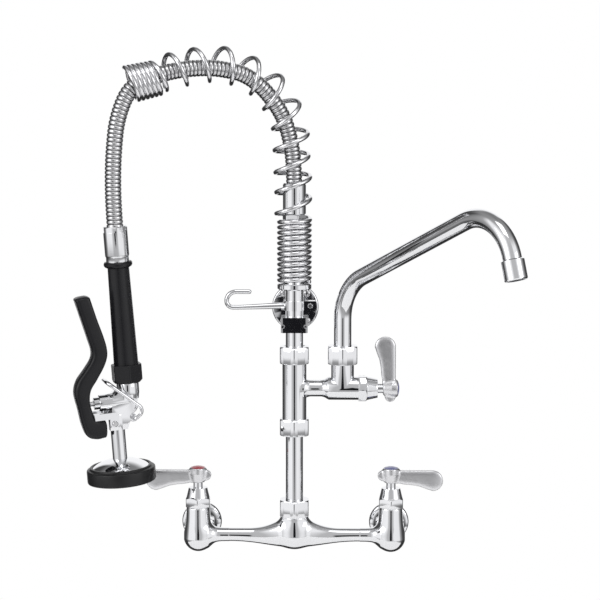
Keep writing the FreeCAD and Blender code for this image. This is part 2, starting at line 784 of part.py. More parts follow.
# The spout is one bent tube. Its lower end turns in the tee's boss on two O-rings, and a nut
# over its collar keeps it there. The aerator screws on its tip.
SPOUT = at("spout_axis", "-wall_distance", "0", "0;0;1", "-spout_direction")
STUB_TOP = "(outlet_top + outlet_stub_length)"
COLLAR_TOP = "(outlet_top + outlet_stub_length + side_play + spout_collar_length)"
body = new_body("spout_nut", at("spout_axis", "-wall_distance"))
NUT_TOP = "(outlet_top + spout_nut_length)"
LIP = "(outlet_top + spout_nut_length - spout_nut_lip)"
turn(body, "Z", [("outlet_stub_radius + thread_gap", "outlet_top"),
                 ("spout_nut_flats / 2 + 0.4", "outlet_top"),
                 ("spout_nut_flats / 2 * 1.13", "outlet_top + 1.5"),
                 ("spout_nut_flats / 2 * 1.13", NUT_TOP + " - 1.5"),
                 ("spout_nut_flats / 2 + 0.4", NUT_TOP), ("spout_radius + side_play", NUT_TOP),
                 ("spout_radius + side_play", LIP), ("outlet_stub_radius + thread_gap", LIP)])
flats(body, "spout_nut_flats", "outlet_top", NUT_TOP)

slope = math.radians(size("spout_slope"))
tilt = math.radians(size("end_tilt"))
corner_a = Vector(0, 0, size("first_corner"))
corner_b = corner_a + Vector(math.cos(slope), 0, math.sin(slope)) * size("slope_length")
end_way = Vector(math.sin(tilt), 0, -math.cos(tilt))
tip = corner_b + end_way * size("end_length")
tube_end = tip - end_way * size("aerator_length - aerator_thread")
tube_start = Vector(0, 0, size(COLLAR_TOP))
spout_path = bent_path([tube_start, corner_a, corner_b, tube_end], [size("first_bend"), size("second_bend")])
bore_path = bent_path([tube_start - Vector(0, 0, 6), corner_a, corner_b, tube_end + end_way],
                      [size("first_bend"), size("second_bend")])
tube = round_sweep(spout_path, size("spout_radius")).cut(
    round_sweep(bore_path, size("spout_radius - spout_wall")))
spigot = new_body("spout_spigot", kept=False)
grooves = []
for height in ("o_ring_high", "o_ring_low"):
    grooves += [("socket_radius - running_gap", height + " + 1.1"),
                ("socket_radius - running_gap - o_ring_thickness", height + " + 1.1"),
                ("socket_radius - running_gap - o_ring_thickness", height + " - 1.1"),
                ("socket_radius - running_gap", height + " - 1.1")]
grooves.reverse()
turn(spigot, "Z", [("outlet_bore_radius", "spigot_bottom"), ("socket_radius - running_gap", "spigot_bottom")] +
     grooves + [("socket_radius - running_gap", STUB_TOP + " + side_play"),
                ("spout_collar_radius", STUB_TOP + " + side_play"), ("spout_collar_radius", COLLAR_TOP),
                ("spout_radius - spout_wall", COLLAR_TOP),
                ("spout_radius - spout_wall", COLLAR_TOP + " - 2"),
                ("outlet_bore_radius", COLLAR_TOP + " - 4")])
doc.recompute()
shaped("spout_tube", tube.fuse(spigot.Shape).removeSplitter(), SPOUT)
o_rings = []
for index, height in enumerate(("o_ring_low", "o_ring_high")):
    ring = doc.addObject("Part::Torus", "spout_o_ring_%d" % (index + 1))
    ring.setExpression("Radius1", sized("socket_radius - running_gap - o_ring_thickness / 2 - 0.03"))
    ring.setExpression("Radius2", sized("o_ring_thickness / 2 - 0.05"))
    ring.setExpression("Placement", sized(SPOUT + " * " + at(z=height)))
    o_rings.append(ring)
group("spout_o_rings", o_rings)
TIP = SPOUT + " * " + at("%.6f" % tip.x, "0", "%.6f" % tip.z, "0;1;0", "-end_tilt")
THREAD_END = "(aerator_length - aerator_thread)"
body = new_body("aerator_shell", TIP)
turn(body, "Z", [("insert_radius - 1", "0"), ("aerator_radius - 1", "0"), ("aerator_radius", "1"),
                 ("aerator_radius", "aerator_length - 1"), ("aerator_radius - 1", "aerator_length"),
                 ("spout_radius + thread_gap", "aerator_length"), ("spout_radius + thread_gap", THREAD_END),
                 ("insert_radius + 0.1", THREAD_END), ("insert_radius + 0.1", "aerator_lip"),
                 ("insert_radius - 1", "aerator_lip")])
body = new_body("aerator_insert", TIP)
turn(body, "Z", [("0", "aerator_lip + 1"), ("insert_radius - 2", "aerator_lip + 1"),
                 ("insert_radius - 2", "aerator_lip"), ("insert_radius", "aerator_lip"),
                 ("insert_radius", THREAD_END), ("insert_radius - 2", THREAD_END),
                 ("insert_radius - 2", "aerator_lip + 3"), ("0", "aerator_lip + 3")])
for ring, count in ((5.2, 8), (2.2, 4)):
    for step in range(count):
        turned = 360.0 * step / count
        bar(body, "0.7", "3", at("%g * cos(%g)" % (ring, turned), "%g * sin(%g)" % (ring, turned),
                                 "aerator_lip + 0.5"), cut=True)

# The wall bracket: a disc with a rod, screwed to the wall, and a clamp in two halves that is
# pushed on the rod and holds the upper riser.
body = new_body("wall_disc", at(z="bracket_height"))
turn(body, "Y", [("0", "-disc_hub_length"), ("disc_hub_radius - 1", "-disc_hub_length"),
                 ("disc_hub_radius", "1 - disc_hub_length"), ("disc_hub_radius", "-disc_plate_thickness"),
                 ("disc_plate_radius - 2", "-disc_plate_thickness", "2.01"),
                 ("disc_plate_radius", "2 - disc_plate_thickness"), ("disc_plate_radius", "0"), ("0", "0")])
bar(body, "rod_radius", "clamp_boss_front - 2", at(about="1;0;0", angle="90"))
wall_screws = []
for index, (x, z) in enumerate((("-", "-"), ("", "-"), ("-", ""), ("", ""))):
    spot = (x + "bracket_screw_x / 2", z + "bracket_screw_z / 2")
    bar(body, "bracket_hole_radius", "disc_plate_thickness + 2",
        at(spot[0], "1", spot[1], "1;0;0", "90"), cut=True)
    screw = new_body("wall_screw_%d" % (index + 1),
                     at(spot[0], "-disc_plate_thickness", "bracket_height + " + spot[1], "1;0;0", "90"),
                     kept=False)
    turn(screw, "Z", [("0", "-bracket_screw_length"),
                      ("bracket_screw_radius", "-bracket_screw_length"),
                      ("bracket_screw_radius", "-disc_plate_thickness"),
                      ("bracket_neck_radius", "-disc_plate_thickness"),
                      ("bracket_neck_radius", "0"), ("bracket_head_radius", "0"),
                      ("bracket_head_radius", "0.8", "4.6"), ("1.2", "2.2"), ("1.2", "1"), ("0", "1")])
    wall_screws.append(screw)
group("wall_screws", wall_screws)

body = new_body("clamp_back", at(y="-wall_distance"))
MIDDLE = "((clamp_bottom + clamp_back_top) / 2)"
pad(body, "XY_Plane", [("-clamp_half_width", "clamp_split"), ("clamp_half_width", "clamp_split"),
                       ("clamp_half_width", "wall_distance - clamp_back - 4", "4.01"),
                       ("clamp_half_width - 4", "wall_distance - clamp_back"),
                       ("4 - clamp_half_width", "wall_distance - clamp_back", "4.01"),
                       ("-clamp_half_width", "wall_distance - clamp_back - 4")],
    "clamp_back_top - clamp_bottom", ("0", "0", MIDDLE))
turn(body, "Y", [("0", "wall_distance - clamp_boss_front"),
                 ("clamp_boss_radius", "wall_distance - clamp_boss_front"),
                 ("clamp_boss_radius", "wall_distance - clamp_boss_back"),
                 ("0", "wall_distance - clamp_boss_back")], ("0", "0", "bracket_height"))
bar(body, "pipe_radius + thread_gap", "clamp_back_top", at(z="clamp_bottom - 2"), cut=True)
bar(body, "rod_radius + thread_gap", "clamp_boss_front", at("0", "wall_distance - 2", "bracket_height",
                                                            "1;0;0", "90"), cut=True)
front = new_body("clamp_front", at(y="-wall_distance"))
FRONT = "(wall_distance - clamp_front)"
pad(front, "XY_Plane", [("-clamp_half_width", FRONT + " + 2"), ("2 - clamp_half_width", FRONT),
                        ("clamp_half_width - 2", FRONT), ("clamp_half_width", FRONT + " + 2"),
                        ("clamp_half_width", "-clamp_split"), ("-clamp_half_width", "-clamp_split")],
    "clamp_front_top - clamp_bottom", ("0", "0", "(clamp_bottom + clamp_front_top) / 2"))
bar(front, "pipe_radius + thread_gap", "clamp_back_top", at(z="clamp_bottom - 2"), cut=True)
clamp_screws = []
for sign in ("-", ""):
    for half in (body, front):
        bar(half, "clamp_screw_radius + thread_gap", "wall_distance",
            at(sign + "clamp_screw_x", "wall_distance - clamp_back - 6", "clamp_screw_height",
               "1;0;0", "90"), cut=True)
    screw = new_body("clamp_screw_" + ("left" if sign else "right"),
                     at(sign + "clamp_screw_x", "-clamp_front", "clamp_screw_height", "1;0;0", "90"),
                     kept=False)
    turn(screw, "Z", [("0", "clamp_back + 7 - clamp_front"),
                      ("clamp_screw_radius", "clamp_back + 7 - clamp_front"), ("clamp_screw_radius", "0"),
                      ("clamp_head_radius", "0"), ("clamp_head_radius", "0.8"), ("1.2", "1.6"), ("0", "1.6")])
    clamp_screws.append(screw)
group("clamp_screws", clamp_screws)

# The finger hook: a split ring clamped on the upper riser, with an arm that bends up and back
# to hang the spray valve on.
body = new_body("finger_hook_clamp", COLUMN, kept=False)
turn(body, "Z", [("0", "hook_ring_bottom"), ("hook_ring_radius", "hook_ring_bottom"),
                 ("hook_ring_radius", "hook_ring_top"), ("0", "hook_ring_top")])
pad(body, "XY_Plane", [("0", "-hook_block_width / 2"), ("hook_block_reach", "-hook_block_width / 2"),
                       ("hook_block_reach", "hook_block_width / 2"), ("0", "hook_block_width / 2")],
    "hook_ring_top - hook_ring_bottom", ("0", "0", "(hook_ring_top + hook_ring_bottom) / 2"))
bar(body, "pipe_radius + thread_gap", "hook_ring_top", at(z="hook_ring_bottom - 2"), cut=True)
pad(body, "XY_Plane", [("0", "-hook_split / 2"), ("hook_block_reach + 1", "-hook_split / 2"),
                       ("hook_block_reach + 1", "hook_split / 2"), ("0", "hook_split / 2")],
    "3 * (hook_ring_top - hook_ring_bottom)", ("0", "0", "(hook_ring_top + hook_ring_bottom) / 2"), cut=True)
bar(body, "hook_screw_radius + thread_gap", "2 * hook_block_width",
    at("(hook_block_reach + hook_ring_radius) / 2", "hook_block_width / 2 - 2",
       "(hook_ring_top + hook_ring_bottom) / 2", "1;0;0", "90"), cut=True)
doc.recompute()
arm = body.Shape.copy()
arm.Placement = Placement()
height = size("hook_arm_height")
reach = size("hook_arm_end")
low = height - size("hook_drop")
rise = size("hook_low_bend + hook_high_bend")
outside = reach + size("hook_high_bend + 2.8")
cone = Part.makeCone(size("hook_arm_radius"), size("hook_tip_radius"),
                     math.hypot(reach - size("pipe_radius + 1"), size("hook_drop")),
                     Vector(-size("pipe_radius + 1"), 0, height),
                     Vector(-reach + size("pipe_radius + 1"), 0, -size("hook_drop")))
bend = bent_path([Vector(-reach, 0, low), Vector(-outside, 0, low), Vector(-outside, 0, low + rise),
                  Vector(-reach + size("hook_tip_run"), 0, low + rise)],
                 [size("hook_low_bend") - 0.01, size("hook_high_bend") - 0.01])
arm = arm.fuse([cone, round_sweep(bend, size("hook_tip_radius")),
                Part.makeSphere(size("hook_tip_radius"), Vector(-reach, 0, low)),
                Part.makeSphere(size("hook_tip_radius"), Vector(size("hook_tip_run") - reach, 0, low + rise))])
shaped("finger_hook", arm, COLUMN)
body = new_body("hook_screw", at("(hook_block_reach + hook_ring_radius) / 2",
                                 "-wall_distance - hook_block_width / 2",
                                 "(hook_ring_top + hook_ring_bottom) / 2", "1;0;0", "90"))
turn(body, "Z", [("0", "2.5 - hook_block_width"), ("hook_screw_radius", "2.5 - hook_block_width"),
                 ("hook_screw_radius", "0"), ("hook_screw_head", "0"), ("hook_screw_head", "1"),
                 ("hook_screw_head - 0.8", "1.8"), ("0", "1.8")])

# The spring stands on a collar on the upper riser and arches over to the spray valve. Each of
# its turns is two half circles, so that its coils lean with the arch's line.
body = new_body("spring_collar", COLUMN)
turn(body, "Z", [("pipe_radius + thread_gap", "spring_collar_bottom"),
                 ("spring_collar_radius - 1", "spring_collar_bottom"),
                 ("spring_collar_radius", "spring_collar_bottom + 1"),
                 ("spring_collar_radius", "spring_collar_top - 1"),
                 ("spring_collar_radius - 1", "spring_collar_top"),
                 ("pipe_radius + thread_gap", "spring_collar_top")])
SPRING_LINE = [(0, 258), (0, 300), (0.5, 335), (1.3, 360), (3, 403), (5.5, 428), (14.3, 451.4),
               (30.9, 472.4), (55, 486.3), (81.7, 492.7), (109.5, 490.3), (133, 485), (164.5, 475.5)]
axis = Part.BSplineCurve()
axis.interpolate([Vector(x, 0, z) for x, z in SPRING_LINE])

first_turn = size("spring_collar_top + side_play + wire_radius")
stations = [axis.parameter(Vector(0, 0, first_turn))]
begin = axis.length(axis.FirstParameter, stations[0])
closed = size("closed_pitch") * size("closed_turns")
total = axis.length()
ending = size("end_pitch") * size("end_turns")
upright = size("open_pitch") * size("open_turns")
arch_pitch = (total - begin - closed - upright - ending) / size("arch_turns")
distances = [begin]
for turns, pitch in ((size("closed_turns"), size("closed_pitch")), (size("open_turns"), size("open_pitch")),
                     (size("arch_turns"), arch_pitch), (size("end_turns"), size("end_pitch"))):
    for half in range(int(2 * turns)):
        distances.append(distances[-1] + pitch / 2)
coil = []
for index, distance in enumerate(distances):
    parameter = axis.parameterAtDistance(min(distance, total), axis.FirstParameter)
    along = Vector(*axis.tangent(parameter)[0])
    outward = Vector(-along.z, 0, along.x) * (1 if index % 2 == 0 else -1)
    coil.append(axis.value(parameter) + outward * size("coil_radius"))
turns = []
for index in range(len(coil) - 1):
    here, there = coil[index], coil[index + 1]
    side = Vector(0, (there - here).Length / 2 * (-1 if index % 2 == 0 else 1), 0)
    turns.append(Part.Arc(here, (here + there) * 0.5 + side, there).toShape())
spring_path = Part.Wire(turns)
shaped("overhead_spring", round_sweep(spring_path, size("wire_radius")), GOOSENECK)

# The hose leaves a coupling that turns on the riser's end, runs inside the spring and hangs
# down to the spray valve. Its points are (outward, height) in the gooseneck's plane.
body = new_body("hose_coupling", GOOSENECK)
turn(body, "Z", [("pipe_radius + running_gap", "coupling_bottom"),
                 ("coupling_flats / 2 + 0.3", "coupling_bottom"),
                 ("coupling_flats / 2 * 1.13", "coupling_bottom + 1"),
                 ("coupling_flats / 2 * 1.13", "coupling_hex_top - 1"),
                 ("coupling_flats / 2", "coupling_hex_top"), ("coupling_radius", "coupling_hex_top + 1"),
                 ("coupling_radius", "coupling_top - 1.5"), ("coupling_radius - 1", "coupling_top"),
                 ("hose_radius + hose_gap", "coupling_top"), ("hose_radius + hose_gap", "hose_start"),
                 ("pipe_bore", "hose_start"), ("pipe_bore", "upper_riser_top + side_play"),
                 ("pipe_radius + running_gap", "upper_riser_top + side_play")])
flats(body, "coupling_flats", "coupling_bottom", "coupling_hex_top")
HOSE_LINE = [(0, 347), (0, 378.5), (2.7, 411.4), (13.5, 445.9), (44.7, 481.1), (80.9, 489.5),
             (110.7, 488.9), (137.3, 484.2), (170.4, 473.1), (185, 441.3), (189.1, 406.8),
             (190.3, 373.4), (189.4, 341.3), (187.1, 309.1)]
tilt = math.radians(size("grip_tilt"))
hose_points = [Vector(x, 0, z) for x, z in HOSE_LINE]
hose_points[0].z = size("hose_start")
for index, along in ((-1, size("hose_end")), (-2, size("hose_end") + 32)):
    hose_points[index] = Vector(size("grip_reach"), 0, size("grip_height")) + \
        Vector(math.sin(tilt), 0, math.cos(tilt)) * along
radii = []
for before, here, after in zip(hose_points, hose_points[1:], hose_points[2:]):
    back, ahead = before - here, after - here
    half = math.acos(back.dot(ahead) / back.Length / ahead.Length) / 2
    radii.append(0.45 * min(back.Length, ahead.Length) * math.tan(half))
print("hose bend radii, mm:", " ".join("%.0f" % radius for radius in radii))
hose_path = bent_path(hose_points, radii)
hose = round_sweep(hose_path, size("hose_radius"))
section = math.pi * size("hose_radius") ** 2
print("hose length %.1f mm, volume / (section x length) %.4f" %
      (hose_path.Length, hose.Volume / section / hose_path.Length))
shaped("spray_hose", hose, GOOSENECK)

# The ferrule is crimped on the hose's lower end and screwed on the grip's core tube. The black
# grip is a sleeve on that tube, held by a black nut over the spray valve.
body = new_body("hose_ferrule", SPRAY)
turn(body, "Z", [("core_radius + thread_gap", "ferrule_bottom"),
                 ("ferrule_ring_radius", "ferrule_bottom"), ("ferrule_ring_radius", "ferrule_ring_top - 1"),
                 ("ferrule_ring_radius + 0.5", "ferrule_ring_top"), ("ferrule_radius", "ferrule_ring_top + 1"),
                 ("ferrule_radius", "ferrule_top - 1"), ("ferrule_radius - 1", "ferrule_top"),
                 ("hose_radius + hose_gap", "ferrule_top"), ("hose_radius + hose_gap", "hose_end"),
                 ("core_bore", "hose_end"), ("core_bore", "core_top"),
                 ("core_radius + thread_gap", "core_top")])
flats(body, "ferrule_flats", "ferrule_top - ferrule_flats_length", "ferrule_top")
body = new_body("grip_core", SPRAY)
turn(body, "Z", [("core_bore", "core_bottom"), ("core_radius", "core_bottom"), ("core_radius", "core_top"),
                 ("core_bore", "core_top")])
body = new_body("grip", SPRAY)
turn(body, "Z", [("core_radius + thread_gap", "grip_bottom"), ("grip_low_radius", "grip_bottom"),
                 ("grip_top_radius", "grip_top - 2"), ("grip_flange_radius - 1", "grip_top - 0.5"),
                 ("grip_flange_radius", "grip_top + 1"), ("grip_flange_radius", "grip_top + 3"),
                 ("grip_flange_radius - 1", "ferrule_bottom"),
                 ("core_radius + thread_gap", "ferrule_bottom")])
body = new_body("grip_nut", SPRAY)
turn(body, "Z", [("core_radius + thread_gap", "grip_nut_bottom"),
                 ("grip_nut_flats / 2 - 1", "grip_nut_bottom"),
                 ("grip_nut_flats / 2 * 1.13", "grip_nut_bottom + 3"),
                 ("grip_nut_flats / 2 * 1.13", "grip_bottom - 0.6"),
                 ("grip_nut_flats / 2 * 1.13 - 0.6", "grip_bottom"), ("core_radius + thread_gap", "grip_bottom")])
flats(body, "grip_nut_flats", "grip_nut_bottom", "grip_bottom")

# The spray valve's casting: a neck under the grip, the plunger's housing towards the lever, a
# socket for the spray head's tube, bosses for the lever's pivots and a lug for the hold ring.
body = new_body("spray_body", SPRAY)
turn(body, "Z", [("0", "-26"), ("valve_neck_radius - 1", "-26"), ("valve_neck_radius", "-20"),
                 ("valve_neck_radius", "grip_nut_bottom"), ("0", "grip_nut_bottom")])
pad(body, "XZ_Plane", [("outlet_x - outlet_socket_radius", "outlet_joint"),
                       ("outlet_x + outlet_socket_radius", "outlet_joint"),
                       ("outlet_x + outlet_socket_radius", "-40"), ("20", "plunger_height - housing_radius"),
                       ("17", "plunger_height + housing_radius"), ("8", "grip_nut_bottom - 3"),
                       ("-8", "grip_nut_bottom - 3"), ("-7.4", "-28"), ("-1.1", "-40"),
                       ("0.9", "-46")], "1.8 * valve_half_width")
turn(body, "X", [("0", "0"), ("plunger_cap_end", "0"), ("plunger_cap_end", "plunger_cap_radius"),
                 ("housing_end", "plunger_cap_radius"), ("housing_end", "housing_radius"),
                 ("0", "housing_radius")], ("0", "plunger_height", "0"))
turn(body, "Z", [("0", "outlet_joint"), ("outlet_socket_radius", "outlet_joint"),
                 ("outlet_socket_radius", "-40"),
                 ("0", "-34")], ("outlet_x", "0", "0"))
bar(body, "2.2 * pivot_radius", "2 * valve_half_width", at("pivot_x", "-valve_half_width", "pivot_z",
                                                           "1;0;0", "-90"))
bar(body, "ring_lug_radius", "valve_half_width", at("ring_hinge_x", "-valve_half_width / 2", "ring_hinge_z",
                                                    "1;0;0", "-90"))
bar(body, "core_radius + thread_gap", "20", at(z="core_bottom"), cut=True)
bar(body, "core_bore", "core_bottom - plunger_height + 1", at(z="plunger_height"), cut=True)
turn(body, "X", [("-6.5", "0"), ("plunger_cap_end + 1", "0"),
                 ("plunger_cap_end + 1", "plunger_radius + running_gap"),
                 ("housing_end", "plunger_radius + running_gap"), ("housing_end", "plunger_bore"),
                 ("18", "plunger_bore"), ("18", "3.2"), ("16", "3.2"), ("16", "plunger_bore"),
                 ("3", "plunger_bore"), ("3", "3.6"), ("0.5", "3.6"), ("0.5", "plunger_bore"),
                 ("-6.5", "plunger_bore")], ("0", "plunger_height", "0"), cut=True)
turn(body, "Z", [("0", "-57"), ("outlet_spigot_radius + thread_gap", "-57"),
                 ("outlet_spigot_radius + thread_gap", "outlet_top_end"), ("0", "outlet_top_end")],
     ("outlet_x", "0", "0"), cut=True)
bar(body, "3", "plunger_height - outlet_top_end + 1", at("outlet_x - 2", "0", "outlet_top_end - 1"), cut=True)
for sign, facing in (("-", "-90"), ("", "90")):
    bar(body, "pivot_radius + running_gap", "pivot_depth + 1",
        at("pivot_x", sign + "(valve_half_width + 1)", "pivot_z", "1;0;0", facing), cut=True)
bar(body, "ring_wire_radius + running_gap", "3 * valve_half_width",
    at("ring_hinge_x", "-1.5 * valve_half_width", "ring_hinge_z", "1;0;0", "-90"), cut=True)

# The plunger opens the valve when the lever pushes it in; a small spring brings it back.
PLUNGER = SPRAY + " * " + at(z="plunger_height")
body = new_body("plunger", PLUNGER)
turn(body, "X", [("-3", "0"), ("plunger_tip", "0"), ("plunger_tip", "plunger_radius"),
                 ("plunger_collar + 2", "plunger_radius"), ("plunger_collar + 2", "plunger_head_radius - 0.2"),
                 ("plunger_collar", "plunger_head_radius - 0.2"), ("plunger_collar", "plunger_radius"),
                 ("0", "plunger_radius"), ("0", "plunger_head_radius"), ("-3", "plunger_head_radius")])
coil_space = size("plunger_collar - plunger_travel - 18") - 1
helix = Part.makeHelix(coil_space / 4, coil_space, 3.8)
wire_end = Part.Wire(Part.Circle(Vector(3.8, 0, 0), Vector(0, 1, 0), 0.4).toShape())
small_coil = Part.Wire(helix.Edges).makePipeShell([wire_end], True, True)
shaped("plunger_spring", small_coil, PLUNGER + " * " + at("18.5", about="0;1;0", angle="90"))

# The spray head: a domed chrome cap on the outlet tube, a nozzle plate under it and a rubber
# bumper stretched over the rim of both.
HEAD = SPRAY + " * " + at("outlet_x")
PLATE = "(skirt_bottom - plate_thickness)"
body = new_body("spray_dome", HEAD)
turn(body, "Z", [("dome_radius - dome_wall", "skirt_bottom"), ("dome_radius", "skirt_bottom"),
                 ("dome_radius", "dome_rim", "dome_curve"), ("outlet_radius", "outlet_bottom"),
                 ("outlet_radius", "outlet_joint"), ("outlet_spigot_radius", "outlet_joint"),
                 ("outlet_spigot_radius", "outlet_top_end"), ("outlet_bore", "outlet_top_end"),
                 ("outlet_bore", "outlet_bottom - dome_wall", "-(dome_curve - dome_wall)"),
                 ("dome_radius - dome_wall", "dome_rim - dome_wall")])
body = new_body("spray_plate", HEAD)
turn(body, "Z", [("0", PLATE), ("dome_radius", PLATE), ("dome_radius", "skirt_bottom"),
                 ("0", "skirt_bottom")])
for ring, share in (("nozzle_ring", 1), ("nozzle_ring / 2", 2)):
    count = int(size("nozzle_count")) // share
    for step in range(count):
        turned = 360.0 * step / count
        bar(body, "nozzle_radius", "plate_thickness + 1",
            at("%s * cos(%g)" % (ring, turned), "%s * sin(%g)" % (ring, turned), PLATE + " - 0.5"), cut=True)
body = new_body("bumper", HEAD)
turn(body, "Z", [("bumper_lip", "bumper_bottom"), ("bumper_radius - 1.6", "bumper_bottom"),
                 ("bumper_radius", "bumper_bottom + 2.5"), ("bumper_radius", "dome_rim - 6"),
                 ("bumper_radius - 1.6", "dome_rim - 4"), ("dome_radius + 1", "dome_rim - 0.3"),
                 ("dome_radius + running_gap", "dome_rim - 0.3"), ("dome_radius + running_gap", PLATE),
                 ("bumper_lip", PLATE)])

# The black lever hangs on two stub screws through the chrome cheeks riveted to its sides. A
# hollow along its inner face takes the grip when the lever is squeezed.
FOOT_X = "outlet_x + outlet_socket_radius + 1"
CHEEK = "(valve_half_width + yoke_gap)"
body = new_body("spray_lever", SPRAY)
pad(body, "XZ_Plane", [(FOOT_X, "-57"), ("30.9", "-63.7"), ("44.5", "-60.9", "9"), ("49.7", "-54.6"),
                       ("56.4", "-16", "16"), ("54.5", "-4.9"), ("36", "17.6", "-12"), ("34.3", "24.6"),
                       ("48.2", "80.8", "8.4"), ("32.4", "82.7"), ("17.6", "24.7", "14"),
                       ("21.7", "11.3"), ("38.4", "-11.9", "-27"), ("37.9", "-35.8"), ("35.4", "-43.3"),
                       (FOOT_X, "-44.1")], "2 * " + CHEEK)
bar(body, "relief_radius", "120", at("pivot_x", "0", "pivot_z", "0;1;0", "lever_squeeze") + " * " +
    at("-pivot_x", "0", "-pivot_z - 10"), cut=True)
cheeks, pins = [], []
for sign, facing in (("-", "-90"), ("", "90")):
    side = "front" if sign else "back"
    body = new_body("yoke_cheek_" + side, SPRAY + " * " + at(y=sign + "(%s + yoke_plate / 2)" % CHEEK),
                    kept=False)
    pad(body, "XZ_Plane", [("pivot_x - 4.5", "pivot_z + 7"), ("pivot_x - 4.5", "pivot_z - 1", "5"),
                           ("pivot_x + 4.5", "pivot_z - 1"), ("pivot_x + 4.5", "pivot_z + 5"),
                           ("38", "pivot_z + 5"), ("38.8", "pivot_z + 11.6"),
                           ("pivot_x", "pivot_z + 11.6", "5")],
        "yoke_plate")
    bar(body, "pivot_radius + running_gap", "3 * yoke_plate",
        at("pivot_x", "-1.5 * yoke_plate", "pivot_z", "1;0;0", "-90"), cut=True)
    cheeks.append(body)
    body = new_body("lever_pin_" + side, SPRAY + " * " + at("pivot_x", sign + "valve_half_width", "pivot_z",
                                                          "1;0;0", facing), kept=False)
    head = "-(yoke_gap + yoke_plate + side_play)"
    turn(body, "Z", [("0", head + " - pivot_head_height"),
                     ("pivot_head_radius - 0.6", head + " - pivot_head_height"),
                     ("pivot_head_radius", head + " - pivot_head_height + 0.6"), ("pivot_head_radius", head),
                     ("pivot_radius", head), ("pivot_radius", "pivot_depth"), ("0", "pivot_depth")])
    pins.append(body)
group("lever_yoke", cheeks)
group("lever_pins", pins)

# The hold ring is a loop of wire round the valve's neck. Its ends butt in the lug that it turns in.
half = size("ring_half_width")
hinge = Vector(size("ring_hinge_x"), 0, size("ring_hinge_z"))
foot = Vector(size("ring_foot_x"), 0, size("ring_foot_z"))
top = Vector(size("ring_top_x"), 0, size("ring_top_z"))
near, far = Vector(0, -half, 0), Vector(0, half, 0)
butt = Vector(0, 0.3, 0)
ring_points = [hinge - butt, hinge + near, foot + near, top + near, top + far, foot + far, hinge + far,
               hinge + butt]
ring_path = bent_path(ring_points, [2.5, 6, 8, 8, 6, 2.5])
shaped("hold_ring", round_sweep(ring_path, size("ring_wire_radius")), SPRAY)

doc.recompute()
for thing in doc.Objects:
    if "Invalid" in thing.State or "Error" in thing.State:
        raise SystemExit("%s is %s" % (thing.Label, thing.State))
os.makedirs("parts", exist_ok=True)
for thing in nodes:
    if thing.Shape.isNull() or not thing.Shape.isValid():
        raise SystemExit("%s has no valid shape" % thing.Label)
for thing in nodes:
    thing.Shape.exportStep("parts/%s.step" % thing.Label)
print(len(nodes), "pieces written")
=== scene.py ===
import math
import bmesh
import bpy
import numpy as np
from mathutils import Matrix, Vector


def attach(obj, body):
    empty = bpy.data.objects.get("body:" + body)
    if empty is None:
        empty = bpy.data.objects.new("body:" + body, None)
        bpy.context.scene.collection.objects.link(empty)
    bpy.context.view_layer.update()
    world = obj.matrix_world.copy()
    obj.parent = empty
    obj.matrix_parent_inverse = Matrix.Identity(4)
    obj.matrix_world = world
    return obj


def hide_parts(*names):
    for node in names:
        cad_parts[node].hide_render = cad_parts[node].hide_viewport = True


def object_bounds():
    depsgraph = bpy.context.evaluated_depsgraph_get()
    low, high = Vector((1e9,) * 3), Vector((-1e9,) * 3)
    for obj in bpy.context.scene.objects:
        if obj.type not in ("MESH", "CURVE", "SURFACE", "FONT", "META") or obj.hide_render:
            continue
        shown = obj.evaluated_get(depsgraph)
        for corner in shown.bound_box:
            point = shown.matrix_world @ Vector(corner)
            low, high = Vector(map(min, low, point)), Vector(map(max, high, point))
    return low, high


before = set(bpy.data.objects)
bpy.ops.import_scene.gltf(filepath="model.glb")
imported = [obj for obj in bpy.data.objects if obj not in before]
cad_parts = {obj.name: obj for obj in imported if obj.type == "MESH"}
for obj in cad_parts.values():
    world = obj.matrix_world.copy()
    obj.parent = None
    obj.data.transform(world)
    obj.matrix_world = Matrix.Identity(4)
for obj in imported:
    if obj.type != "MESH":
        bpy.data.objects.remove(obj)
cad_low, cad_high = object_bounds()
MM = 0.001

# The setting: a wall faucet shown on its own. It has a pale floor well below it, a white studio
# round it with two broad soft lights in front, and dark gaps between them that give the
# chrome its thin dark streaks. The camera stands a little above the middle, far away.
CAMERA_DISTANCE = 1.900
CAMERA_HEIGHT = 0.484
CAMERA_TURN = math.radians(1.0)
CAMERA_DIP = math.radians(7.0)
camera_data = bpy.data.cameras.new("camera")
camera_data.lens = 110.4
camera_data.sensor_width = 36
camera_data.shift_x = 0.0093
camera_data.shift_y = -0.0016
camera_data.clip_end = 50
camera = bpy.data.objects.new("camera", camera_data)
bpy.context.collection.objects.link(camera)
camera.location = (CAMERA_DISTANCE * math.sin(CAMERA_TURN),
                   -0.060 - CAMERA_DISTANCE * math.cos(CAMERA_TURN), CAMERA_HEIGHT)
camera.rotation_euler = (math.radians(90) - CAMERA_DIP, 0, CAMERA_TURN)
bpy.context.scene.camera = camera
bpy.context.scene.view_settings.view_transform = "Standard"


def soft_light(name, place, aim, size, power):
    """A large square light at place, turned so that it faces aim."""
    data = bpy.data.lights.new(name, "AREA")
    data.size = size
    data.energy = power
    light = bpy.data.objects.new(name, data)
    bpy.context.collection.objects.link(light)
    light.location = place
    light.rotation_euler = (Vector(aim) - Vector(place)).to_track_quat("-Z", "Y").to_euler()
    light.visible_camera = False
    return light


soft_light("left_front_light", (-1.7, -1.5, 0.9), (0, -0.06, 0.25), 1.2, 7.5)
soft_light("right_front_light", (1.8, -1.4, 0.8), (0, -0.06, 0.25), 1.0, 4.5)
soft_light("overhead_light", (0.1, -0.9, 2.1), (0, -0.06, 0.2), 1.0, 5)

world = bpy.data.worlds.new("studio")
bpy.context.scene.world = world
world.use_nodes = True
studio = world.node_tree.nodes
studio.clear()
wires = world.node_tree.links


